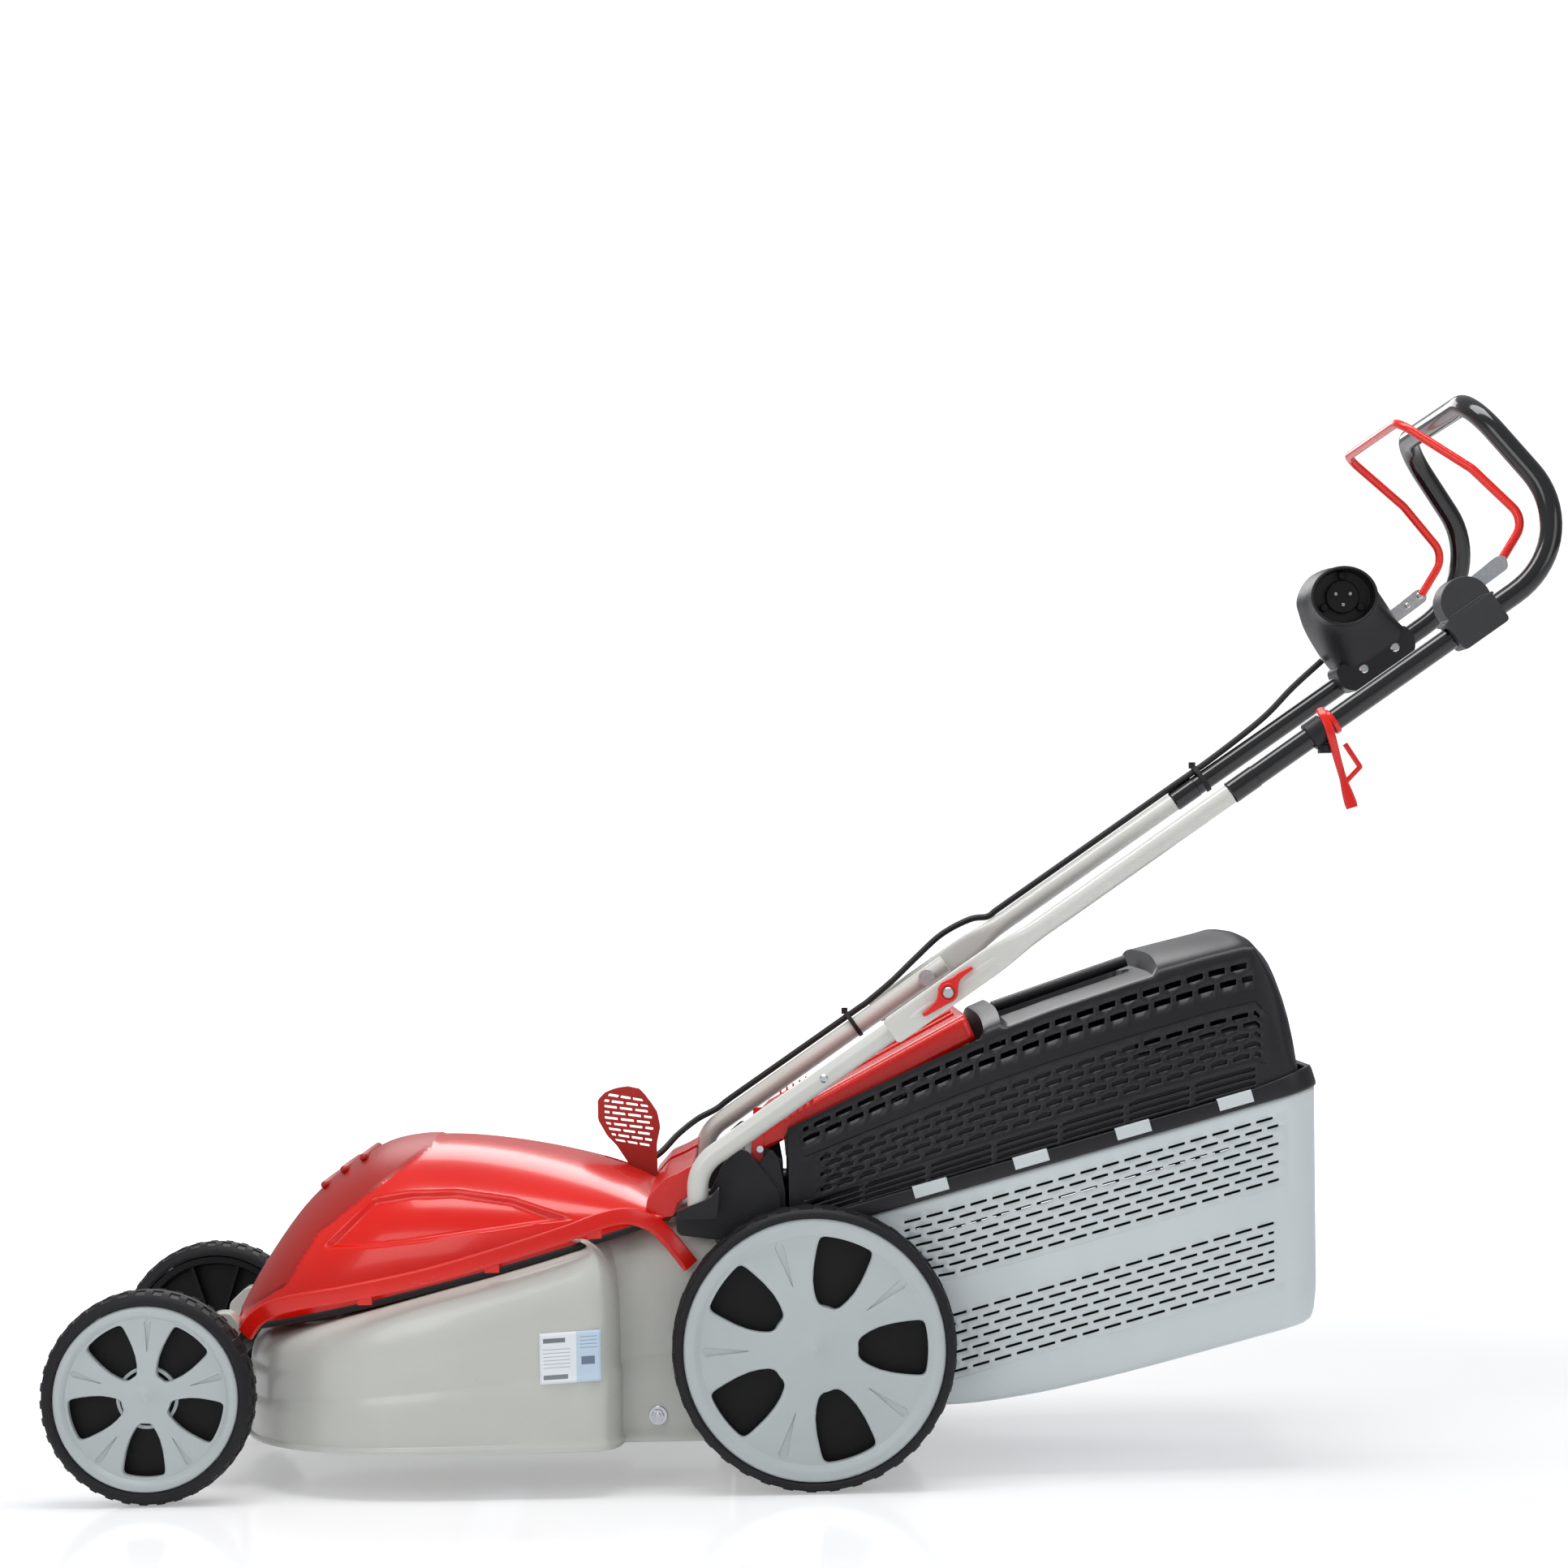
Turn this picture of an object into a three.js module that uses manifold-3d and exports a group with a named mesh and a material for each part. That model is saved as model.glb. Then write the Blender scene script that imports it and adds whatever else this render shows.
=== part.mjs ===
// Electric rotary lawn mower with grass catcher, in millimetres.
// +Z is up, -Y is the mower's front, +X is the operator's left-hand side.
// The mower is modelled with its rear axle at Y = 0 and the ground at Z = 0, then centred on its own length.
import * as THREE from "three";
import { mergeVertices } from "three/addons/utils/BufferGeometryUtils.js";
import Module from "manifold-3d";

const wasm = await Module();
wasm.setup();

// ---- Driving dimensions ----
const WHEELBASE = 654;
const REAR_WHEEL_RADIUS = 140;
const FRONT_WHEEL_RADIUS = 105;
const WHEEL_WIDTH = 45;
const TRACK = 438;
const BLADE_LENGTH = 450;
const DECK_HALF_WIDTH = 238;
const GROUND_CLEARANCE = 45;
const SHEET = 3;
const HANDLE_ANGLE = THREE.MathUtils.degToRad(34);
const FOLD_Y = 137;
const FOLD_Z = 487;
const GAP = 0.3;
const OUTER_HALF_WIDTH = 256;

// ---- Values worked out from them ----
const WHEEL_X = TRACK / 2;
const FRONT_AXLE_Y = -WHEELBASE;
const BLADE_Y = -335;
const LOWER_TUBE_X = 215;
const LOWER_TUBE_RADIUS = 10.5;
const UPPER_TUBE_X = 234;
const UPPER_TUBE_RADIUS = 11;
const AXLE_RADIUS = 6;
const CRANK_X = 187.5;
const PIN_CLEARANCE = 0.4;
const handleSlope = Math.tan(HANDLE_ANGLE);
const handleZ = (y) => FOLD_Z + (y - FOLD_Y) * handleSlope;
const alongHandle = new THREE.Vector3(0, Math.cos(HANDLE_ANGLE), Math.sin(HANDLE_ANGLE));
const acrossHandle = new THREE.Vector3(0, -Math.sin(HANDLE_ANGLE), Math.cos(HANDLE_ANGLE));

// ---- Finishes ----
const finish = (color, roughness, metalness) => new THREE.MeshStandardMaterial({ color, roughness, metalness });
const deckPaint = finish(0xc6c8c2, 0.35, 0.3);
const redPlastic = finish(0xdc1c0a, 0.2, 0);
const darkRedPlastic = finish(0xb02a20, 0.45, 0);
const blackPlastic = finish(0x3a3839, 0.5, 0);
const lidPlastic = finish(0x37343a, 0.45, 0);
const tubPlastic = finish(0xdae0e2, 0.5, 0);
const rimPlastic = finish(0xbec6ca, 0.4, 0);
const tyreRubber = finish(0x1f1f22, 0.75, 0);
const tubePaint = finish(0xdfe1dc, 0.35, 0.2);
const blackTubePaint = finish(0x151517, 0.2, 0.1);
const zinc = finish(0xb4b8bc, 0.35, 0.9);
const steel = finish(0x8d9094, 0.4, 0.9);
const cableRubber = finish(0x1a1a1c, 0.6, 0);
const capPlastic = finish(0x4b4b4d, 0.55, 0);

// ---- Shape helpers ----
const mower = new THREE.Group();

function place(name, geometry, material) {
  const mesh = new THREE.Mesh(geometry, material);
  mesh.name = name;
  mower.add(mesh);
  return mesh;
}

// A closed geometry as a solid that can be joined or cut.
function solidOf(geometry) {
  const bare = (geometry.index ? geometry.toNonIndexed() : geometry).clone();
  bare.deleteAttribute("normal");
  bare.deleteAttribute("uv");
  const merged = mergeVertices(bare, 1e-3);
  const vertProperties = merged.attributes.position.array;
  const triVerts = new Uint32Array(merged.index.array);
  return new wasm.Manifold(new wasm.Mesh({ numProp: 3, vertProperties, triVerts }));
}

function geometryOf(solid) {
  const { vertProperties, triVerts } = solid.getMesh();
  const geometry = new THREE.BufferGeometry();
  geometry.setAttribute("position", new THREE.BufferAttribute(new Float32Array(vertProperties), 3));
  geometry.setIndex(new THREE.BufferAttribute(new Uint32Array(triVerts), 1));
  return geometry;
}

const join = (...geometries) =>
  geometryOf(geometries.map(solidOf).reduce((whole, piece) => whole.add(piece)));
const cut = (geometry, ...tools) =>
  geometryOf(tools.map(solidOf).reduce((left, tool) => left.subtract(tool), solidOf(geometry)));

// A closed outline of [y, z] points as a plate between two X values, with round holes of [y, z, radius].
function plate(outline, xFrom, xTo, holes = []) {
  const shape = new THREE.Shape(outline.map(([y, z]) => new THREE.Vector2(y, z)));
  for (const [y, z, radius] of holes) {
    shape.holes.push(new THREE.Path().absarc(y, z, radius, 0, 2 * Math.PI, true));
  }
  const geometry = new THREE.ExtrudeGeometry(shape, { depth: xTo - xFrom, bevelEnabled: false, curveSegments: 5 });
  const turn = new THREE.Matrix4().makeBasis(
    new THREE.Vector3(0, 1, 0),
    new THREE.Vector3(0, 0, 1),
    new THREE.Vector3(1, 0, 0),
  );
  return geometry.applyMatrix4(turn).translate(xFrom, 0, 0);
}

function block([x0, y0, z0], [x1, y1, z1]) {
  const geometry = new THREE.BoxGeometry(x1 - x0, y1 - y0, z1 - z0);
  return geometry.translate((x0 + x1) / 2, (y0 + y1) / 2, (z0 + z1) / 2);
}

// A profile of [radius, x] points turned about an axis along X, with flats facing straight down and up.
function turnedAboutX(profile, segments, y, z) {
  const points = profile.map(([radius, x]) => new THREE.Vector2(radius, x));
  const geometry = new THREE.LatheGeometry(points, segments, Math.PI / segments);
  return geometry.rotateZ(-Math.PI / 2).translate(0, y, z);
}

// A profile of [radius, z] points turned about the upright blade axis.
function turnedAboutBlade(profile, segments) {
  const points = profile.map(([radius, z]) => new THREE.Vector2(radius, z));
  return new THREE.LatheGeometry(points, segments).rotateX(Math.PI / 2).translate(0, BLADE_Y, 0);
}

function pinAlongX(radius, xFrom, xTo, y, z, segments = 16) {
  const geometry = new THREE.CylinderGeometry(radius, radius, xTo - xFrom, segments);
  return geometry.rotateZ(Math.PI / 2).translate((xFrom + xTo) / 2, y, z);
}

// A straight round bar between two points.
function barBetween(from, to, radius, segments) {
  const span = to.clone().sub(from);
  const geometry = new THREE.CylinderGeometry(radius, radius, span.length(), segments);
  const turn = new THREE.Quaternion().setFromUnitVectors(new THREE.Vector3(0, 1, 0), span.clone().normalize());
  const middle = from.clone().add(to).multiplyScalar(0.5);
  return geometry.applyQuaternion(turn).translate(middle.x, middle.y, middle.z);
}

// A path through given points, whose frames turn as little as possible from one point to the next.
class RodPath extends THREE.Curve {
  constructor(points) {
    super();
    this.points = points;
  }

  getSpacedPoints() {
    return this.points;
  }

  computeFrenetFrames() {
    const count = this.points.length;
    const tangents = this.points.map((point, i) => {
      const before = this.points[Math.max(i - 1, 0)];
      const after = this.points[Math.min(i + 1, count - 1)];
      return after.clone().sub(before).normalize();
    });
    const normals = [];
    const binormals = [];
    const start = new THREE.Vector3(0, 0, 1);
    if (Math.abs(tangents[0].z) > 0.9) start.set(1, 0, 0);
    let normal = start.sub(tangents[0].clone().multiplyScalar(start.dot(tangents[0]))).normalize();
    tangents.forEach((tangent, i) => {
      if (i > 0) {
        const turn = new THREE.Quaternion().setFromUnitVectors(tangents[i - 1], tangent);
        normal = normal.clone().applyQuaternion(turn);
      }
      normals.push(normal);
      binormals.push(new THREE.Vector3().crossVectors(tangent, normal));
    });
    return { tangents, normals, binormals };
  }
}

// The points of a rod that runs straight between corners and turns each inner one on its bend radius.
function bentPoints(corners) {
  const STEP = THREE.MathUtils.degToRad(18);
  const points = [new THREE.Vector3(...corners[0].slice(0, 3))];
  for (let i = 1; i < corners.length - 1; i++) {
    const corner = new THREE.Vector3(...corners[i].slice(0, 3));
    const bendRadius = corners[i][3];
    const inward = new THREE.Vector3(...corners[i - 1].slice(0, 3)).sub(corner).normalize();
    const outward = new THREE.Vector3(...corners[i + 1].slice(0, 3)).sub(corner).normalize();
    const turn = Math.PI - inward.angleTo(outward);
    const tangentLength = bendRadius * Math.tan(turn / 2);
    const centre = inward.clone().add(outward).normalize();
    centre.multiplyScalar(bendRadius / Math.cos(turn / 2)).add(corner);
    const first = corner.clone().addScaledVector(inward, tangentLength).sub(centre);
    const axis = new THREE.Vector3().crossVectors(outward, inward).normalize();
    const steps = Math.max(2, Math.ceil(turn / STEP));
    for (let k = 0; k <= steps; k++) {
      points.push(first.clone().applyAxisAngle(axis, (turn * k) / steps).add(centre));
    }
  }
  points.push(new THREE.Vector3(...corners[corners.length - 1].slice(0, 3)));
  return points;
}

// A round rod carried along a list of points, as a closed solid.
function rodThrough(points, radius, sides) {
  const section = new THREE.Shape();
  for (let k = 0; k < sides; k++) {
    const angle = (2 * Math.PI * k) / sides;
    const place2d = [radius * Math.cos(angle), radius * Math.sin(angle)];
    if (k === 0) section.moveTo(...place2d);
    else section.lineTo(...place2d);
  }
  return new THREE.ExtrudeGeometry(section, { steps: points.length - 1, extrudePath: new RodPath(points) });
}

const bentRod = (corners, radius, sides) => rodThrough(bentPoints(corners), radius, sides);

// A closed skin over rings of points, each ring with the same count, with a fan over each end.
function loft(rings) {
  const count = rings[0].length;
  const positions = [];
  const indices = [];
  const middles = [rings[0], rings[rings.length - 1]].map((ring) =>
    ring.reduce((sum, point) => sum.add(point), new THREE.Vector3()).divideScalar(count),
  );
  for (const ring of rings) ring.forEach((point) => positions.push(point.x, point.y, point.z));
  middles.forEach((point) => positions.push(point.x, point.y, point.z));
  const firstMiddle = rings.length * count;
  const lastRing = (rings.length - 1) * count;
  for (let i = 0; i < count; i++) {
    const next = (i + 1) % count;
    for (let k = 0; k < rings.length - 1; k++) {
      const low = k * count;
      const high = low + count;
      indices.push(low + i, low + next, high + next, low + i, high + next, high + i);
    }
    indices.push(firstMiddle, next, i);
    indices.push(firstMiddle + 1, lastRing + i, lastRing + next);
  }
  const geometry = new THREE.BufferGeometry();
  geometry.setAttribute("position", new THREE.Float32BufferAttribute(positions, 3));
  geometry.setIndex(indices);
  if (solidOf(geometry).volume() < 0) geometry.index.array.reverse();
  return geometry;
}

// A value read from a list of [position, value] pairs, straight between neighbours.
function along(pairs, position) {
  const after = pairs.findIndex(([at]) => at >= position);
  if (after <= 0) return pairs[after === 0 ? 0 : pairs.length - 1][1];
  const [from, low] = pairs[after - 1];
  const [to, high] = pairs[after];
  return low + ((high - low) * (position - from)) / (to - from);
}

// ---- Deck: a pressed steel housing, open below, with a flat seat for the motor ----
const DECK_FRONT_Y = -584;
const DECK_REAR_Y = -84;
const DECK_REAR_HALF_WIDTH = 184;
const DECK_REAR_TOP = 262;
const MOTOR_SEAT_Z = 232;
const MOTOR_SEAT_RADIUS = 82;
const SHAFT_HOLE_RADIUS = 24;
const CHUTE_HALF_WIDTH = 158;
const CHUTE_BOTTOM = 160;
const CHUTE_TOP = 248;

// The deck's top edge climbs to the rear, ever more steeply, and ends level under the rear housing.
function deckTop(y) {
  const back = y + 550;
  return Math.min(160 + 0.2 * back + 0.00014 * back * back, DECK_REAR_TOP);
}

function deckOutline() {
  const half = new THREE.Path();
  half.moveTo(0, DECK_FRONT_Y);
  half.bezierCurveTo(150, DECK_FRONT_Y, DECK_HALF_WIDTH, -520, DECK_HALF_WIDTH, -350);
  half.lineTo(DECK_HALF_WIDTH, -230);
  half.bezierCurveTo(DECK_HALF_WIDTH, -205, 228, -196, DECK_REAR_HALF_WIDTH, -192);
  half.lineTo(DECK_REAR_HALF_WIDTH, DECK_REAR_Y);
  const side = half.getPoints(9);
  const mirrored = side.slice(1).reverse().map((point) => new THREE.Vector2(-point.x, point.y));
  return side.concat(mirrored);
}

// The outline moved inwards, square to itself, by an even amount.
function inset(outline, amount) {
  const count = outline.length;
  return outline.map((point, i) => {
    const before = outline[(i + count - 1) % count];
    const after = outline[(i + 1) % count];
    const inA = new THREE.Vector2(before.y - point.y, point.x - before.x).normalize();
    const inB = new THREE.Vector2(point.y - after.y, after.x - point.x).normalize();
    const inward = inA.clone().add(inB);
    inward.multiplyScalar((2 * amount) / Math.max(inward.lengthSq(), 2));
    return point.clone().add(inward);
  });
}

function deckRings(thickness) {
  const outline = deckOutline();
  const bottom = thickness > 0 ? GROUND_CLEARANCE - 10 : GROUND_CLEARANCE;
  const levels = [[0, 0], [0.62, 0], [0.86, 3], [0.97, 12], [1, 26], [1, 120]];
  return levels.map(([height, drawIn]) =>
    inset(outline, thickness + drawIn).map((point) => {
      const top = deckTop(point.y) - thickness;
      return new THREE.Vector3(point.x, point.y, bottom + height * (top - bottom));
    }),
  );
}

const seat = (radius, top) => turnedAboutBlade([[0, 190], [radius + 8, 190], [radius, top], [0, top]], 32);
const deckOuter = join(loft(deckRings(0)), seat(MOTOR_SEAT_RADIUS, MOTOR_SEAT_Z));
const deckInner = join(loft(deckRings(SHEET)), seat(MOTOR_SEAT_RADIUS - SHEET, MOTOR_SEAT_Z - SHEET));
const chuteCut = block([-CHUTE_HALF_WIDTH, -110, CHUTE_BOTTOM], [CHUTE_HALF_WIDTH, -70, CHUTE_TOP]);
const shaftCut = turnedAboutBlade([[0, 180], [SHAFT_HOLE_RADIUS, 180], [SHAFT_HOLE_RADIUS, 260], [0, 260]], 20);
place("deck", cut(deckOuter, deckInner, chuteCut, shaftCut), deckPaint);

// ---- Motor hood: a glossy moulded cover over the motor, open below ----
const HOOD_CREST = [
  [-588, 178], [-566, 206], [-543, 242], [-520, 272], [-489, 301], [-462, 319], [-436, 332],
  [-405, 338], [-349, 337], [-292, 329], [-235, 316], [-197, 304], [-160, 287], [-146, 278],
];
const HOOD_HALF_WIDTH = [
  [-588, 96], [-566, 132], [-543, 152], [-520, 166], [-489, 180], [-450, 191], [-405, 198],
  [-349, 203], [-292, 204], [-235, 202], [-197, 197], [-160, 188], [-146, 182],
];
const HOOD_ROUNDNESS = 2.5;
const ARCH_STEPS = 14;

function hoodRings(thickness) {
  return HOOD_CREST.map(([station, crest], i) => {
    let y = station;
    if (i === 0) y += thickness;
    if (i === HOOD_CREST.length - 1) y -= thickness;
    const halfWidth = along(HOOD_HALF_WIDTH, station) - thickness;
    const base = deckTop(station) + 3;
    const top = crest - thickness;
    const arch = [];
    for (let k = 0; k <= ARCH_STEPS; k++) {
      const angle = (Math.PI * k) / ARCH_STEPS;
      const across = Math.sign(Math.cos(angle)) * Math.abs(Math.cos(angle)) ** (2 / HOOD_ROUNDNESS);
      const up = Math.sin(angle) ** (2 / HOOD_ROUNDNESS);
      arch.push(new THREE.Vector3(halfWidth * across, y, base + (top - base) * up));
    }
    if (thickness > 0) {
      arch.push(new THREE.Vector3(-halfWidth, y, base - 20), new THREE.Vector3(halfWidth, y, base - 20));
    }
    return arch;
  });
}

const leverSlot = block([-78, -215, 240], [-42, -130, 360]);
const cableSlot = block([-132, -200, 240], [-108, -130, 360]);
place("motor_hood", cut(loft(hoodRings(0)), loft(hoodRings(SHEET)), leverSlot, cableSlot), redPlastic);

// ---- Side trims: moulded bands that follow the deck's shoulder from front wheel to rear wheel ----
// Each point is [x, y, z] on the band's middle line, for the left-hand side.
const TRIM_LINE = [
  [187, -563, 160], [189, -549, 177], [196, -522, 191], [211, -458, 200], [217, -387, 214], [219, -315, 233],
  [217, -243, 254], [210, -207, 267], [201, -182, 272], [192, -158, 265], [190, -138, 245], [190, -117, 217],
];
const TRIM_HEIGHT = 17;
const TRIM_THICKNESS = 5;

function trimBand(side) {
  const rings = TRIM_LINE.map(([x, y, z], i) => {
    const before = TRIM_LINE[Math.max(i - 1, 0)];
    const after = TRIM_LINE[Math.min(i + 1, TRIM_LINE.length - 1)];
    const run = new THREE.Vector2(after[1] - before[1], after[2] - before[2]).normalize();
    const corners = [[-1, -1], [1, -1], [1, 1], [-1, 1]];
    return corners.map(([outward, upward]) => {
      const rise = (upward * TRIM_HEIGHT) / 2;
      const out = (outward * TRIM_THICKNESS) / 2;
      return new THREE.Vector3(side * (x + out), y - run.y * rise, z + run.x * rise);
    });
  });
  return loft(rings);
}

for (const [label, side] of [["left", 1], ["right", -1]]) {
  place(`side_trim_${label}`, trimBand(side), redPlastic);
}

// ---- Rear tunnel and tube sockets: black mouldings behind the deck ----
const TUNNEL_HALF_WIDTH = 174;
const TUNNEL_REAR_Y = -27;
const TUNNEL_FRONT_Y = DECK_REAR_Y + GAP;
const tunnelProfile = [
  [TUNNEL_FRONT_Y, 148], [TUNNEL_REAR_Y, 148], [TUNNEL_REAR_Y, 292], [-52, 318], [-66, 318], [TUNNEL_FRONT_Y, 284],
];
const tunnelBore = block(
  [-CHUTE_HALF_WIDTH + 6, -100, CHUTE_BOTTOM + 4],
  [CHUTE_HALF_WIDTH - 6, 0, CHUTE_TOP - 4],
);
place("rear_tunnel", cut(plate(tunnelProfile, -TUNNEL_HALF_WIDTH, TUNNEL_HALF_WIDTH), tunnelBore), blackPlastic);

const SOCKET_BOTTOM = DECK_REAR_TOP + 2;
const SOCKET_INNER_X = TUNNEL_HALF_WIDTH + 2;
const SOCKET_OUTER_X = 230;
const LOWER_TUBE_BASE_Y = -112;
const LOWER_TUBE_BASE_Z = 278;
const socketProfile = [
  [-133, SOCKET_BOTTOM], [-30, SOCKET_BOTTOM], [-30, 290], [-66, 333], [-84, 319], [-98, 288], [-133, 276],
];
const socketCheek = [[-133, 269], [-91, 269], [-87, 306], [-98, 290], [-133, 277]];
const CHEEK_X = WHEEL_X - WHEEL_WIDTH / 2 - 4;
for (const [label, side] of [["left", 1], ["right", -1]]) {
  const span = (from, to) => [side * from, side * to].sort((a, b) => a - b);
  const body = join(
    plate(socketProfile, ...span(SOCKET_INNER_X, CHEEK_X)),
    plate(socketCheek, ...span(CHEEK_X - 1, SOCKET_OUTER_X)),
  );
  const seatHole = new THREE.CylinderGeometry(LOWER_TUBE_RADIUS + GAP, LOWER_TUBE_RADIUS + GAP, 90, 16);
  seatHole.rotateX(Math.PI / 2).translate(side * LOWER_TUBE_X, LOWER_TUBE_BASE_Y, LOWER_TUBE_BASE_Z + 45 - GAP);
  const bend = lowerTubeGeometry(side, LOWER_TUBE_RADIUS + GAP);
  place(`tube_socket_${label}`, cut(body, seatHole, bend), blackPlastic);
}

// ---- Lower handle tubes: bent steel tube, upright in the socket and then straight to the fold bolt ----
function lowerTubeGeometry(side, radius) {
  const x = side * LOWER_TUBE_X;
  const END_Y = FOLD_Y + 22;
  const corners = [
    [x, LOWER_TUBE_BASE_Y, LOWER_TUBE_BASE_Z],
    [x, LOWER_TUBE_BASE_Y, handleZ(LOWER_TUBE_BASE_Y), 40],
    [x, END_Y, handleZ(END_Y)],
  ];
  return bentRod(corners, radius, 14);
}

const BOLT_RADIUS = 4;
for (const [label, side] of [["left", 1], ["right", -1]]) {
  const hole = pinAlongX(BOLT_RADIUS + GAP, -OUTER_HALF_WIDTH, OUTER_HALF_WIDTH, FOLD_Y, FOLD_Z);
  place(`lower_tube_${label}`, cut(lowerTubeGeometry(side, LOWER_TUBE_RADIUS), hole), tubePaint);
}

// ---- Fold bolts and their cam levers ----
const CHANNEL_INNER_X = LOWER_TUBE_X + LOWER_TUBE_RADIUS + 1;
const CHANNEL_OUTER_X = UPPER_TUBE_X + 3;
const LEVER_THICKNESS = 8;
for (const [label, side] of [["left", 1], ["right", -1]]) {
  const headInner = LOWER_TUBE_X - LOWER_TUBE_RADIUS - 5;
  const headOuter = LOWER_TUBE_X - LOWER_TUBE_RADIUS - GAP;
  const boltEnd = CHANNEL_OUTER_X + LEVER_THICKNESS + 6;
  const spans = [[headInner, headOuter, 9], [headOuter - 1, boltEnd, BOLT_RADIUS]];
  const pieces = spans.map(([from, to, radius]) => {
    const ends = [side * from, side * to].sort((a, b) => a - b);
    return pinAlongX(radius, ...ends, FOLD_Y, FOLD_Z);
  });
  place(`fold_bolt_${label}`, join(...pieces), zinc);

  const leverOutline = [
    [-29, -24], [-22, -27], [-12, -10], [6, -12], [13, 0], [12, 8], [28, 22], [24, 27], [4, 14], [-9, 11], [-14, 0],
    [-22, -12],
  ].map(([y, z]) => [FOLD_Y + y, FOLD_Z + z]);
  const edges = [side * (CHANNEL_OUTER_X + 1), side * (CHANNEL_OUTER_X + 1 + LEVER_THICKNESS)].sort((a, b) => a - b);
  const lever = plate(leverOutline, ...edges, [[FOLD_Y, FOLD_Z, BOLT_RADIUS + PIN_CLEARANCE]]);
  place(`cam_lever_${label}`, lever, redPlastic);
}

// ---- Upper handle: flattened tube ends, the black bar that carries the grip, and its fittings ----
const CHANNEL_FROM_Y = 80;
const CHANNEL_TO_Y = 206;
const CHANNEL_HALF_HEIGHT = 14;
const SLEEVE_Y = 418;
const onHandle = (x, y) => new THREE.Vector3(x, y, handleZ(y));
for (const [label, side] of [["left", 1], ["right", -1]]) {
  const from = onHandle(0, CHANNEL_FROM_Y);
  const to = onHandle(0, CHANNEL_TO_Y);
  const outline = [[from, -1], [to, -1], [to, 1], [from, 1]].map(([point, sign]) => {
    const corner = point.clone().addScaledVector(acrossHandle, sign * CHANNEL_HALF_HEIGHT);
    return [corner.y, corner.z];
  });
  const edges = [side * CHANNEL_INNER_X, side * CHANNEL_OUTER_X].sort((a, b) => a - b);
  const channel = plate(outline, ...edges);
  const x = side * UPPER_TUBE_X;
  const round = barBetween(onHandle(x, CHANNEL_TO_Y - 20), onHandle(x, SLEEVE_Y), LOWER_TUBE_RADIUS, 14);
  const hole = pinAlongX(BOLT_RADIUS + GAP, -OUTER_HALF_WIDTH, OUTER_HALF_WIDTH, FOLD_Y, FOLD_Z);
  place(`upper_tube_${label}`, cut(join(channel, round), hole), tubePaint);
}

const LOOP_REAR_Y = 780;
const GRIP_BAR_X = 176;
const GRIP_BAR_Y = 673.5;
const GRIP_BAR_Z = 1067.3;
const sleeveStart = onHandle(0, SLEEVE_Y).addScaledVector(alongHandle, GAP);
const handleBarHalf = [
  [UPPER_TUBE_X, sleeveStart.y, sleeveStart.z, 0],
  [UPPER_TUBE_X, LOOP_REAR_Y, handleZ(LOOP_REAR_Y), 90.2],
  [GRIP_BAR_X, GRIP_BAR_Y, GRIP_BAR_Z, 60],
];
const handleBarCorners = [
  ...handleBarHalf.map(([x, y, z, bend]) => [-x, y, z, bend]),
  ...[...handleBarHalf].reverse(),
];
place("handle_bar", bentRod(handleBarCorners, UPPER_TUBE_RADIUS, 14), blackTubePaint);

const tubeRelief = (side) =>
  barBetween(onHandle(side * UPPER_TUBE_X, 440), onHandle(side * UPPER_TUBE_X, 700), UPPER_TUBE_RADIUS + GAP, 20);

const BAIL_PIVOT_Y = 652;
const BAIL_PIVOT_Z = 868;
const FITTING_INNER_X = 212;
const capMiddle = onHandle(0, 662);
const capOutline = [[-26, -17], [26, -17], [26, 17], [-26, 17]].map(([run, rise]) => {
  const corner = capMiddle.clone().addScaledVector(alongHandle, run).addScaledVector(acrossHandle, rise);
  return [corner.y, corner.z];
});
const bailHole = pinAlongX(4 + PIN_CLEARANCE, -230, 230, BAIL_PIVOT_Y, BAIL_PIVOT_Z);
const capBody = join(
  plate(capOutline, FITTING_INNER_X, OUTER_HALF_WIDTH),
  pinAlongX(24, FITTING_INNER_X, OUTER_HALF_WIDTH, 650, 862, 24),
);
place("pivot_cap", cut(capBody, tubeRelief(1), bailHole), capPlastic);

const BUTTON_RADIUS = 11;
const BUTTON_Y = 610;
const BUTTON_Z = 880;
const BUTTON_STAND = 6;
const BOX_OUTER_X = OUTER_HALF_WIDTH - BUTTON_STAND;
const boxOutline = [
  [563, 898], [573, 921], [598, 936], [630, 932], [655, 911], [681, 858], [686, 851], [621, 804], [594, 817], [574, 862],
];
const buttonHole = pinAlongX(BUTTON_RADIUS + PIN_CLEARANCE, -OUTER_HALF_WIDTH, -236, BUTTON_Y, BUTTON_Z, 20);
const boxBody = plate(boxOutline, -BOX_OUTER_X, -FITTING_INNER_X);
place("switch_box", cut(boxBody, tubeRelief(-1), buttonHole, bailHole), blackPlastic);
place("start_button", pinAlongX(BUTTON_RADIUS, -OUTER_HALF_WIDTH, -244, BUTTON_Y, BUTTON_Z, 20), redPlastic);

const INLET_Y = 599;
const INLET_Z = 894;
const COVER_X = -190;
const SHROUD_X = -150;
const coverOutline = [[563, 898], [573, 921], [598, 936], [622, 931], [636, 905], [628, 858], [592, 835], [574, 862]];
const shroud = turnedAboutX(
  [[27, COVER_X - 1], [33, COVER_X - 1], [33, SHROUD_X], [27, SHROUD_X], [27, COVER_X - 1]], 28, INLET_Y, INLET_Z,
);
const coverBody = join(plate(coverOutline, -FITTING_INNER_X + GAP, COVER_X), shroud);
place("switch_cover", coverBody, blackPlastic);
place("inlet_socket", pinAlongX(17, COVER_X + GAP, SHROUD_X - 16, INLET_Y, INLET_Z, 20), blackPlastic);

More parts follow.
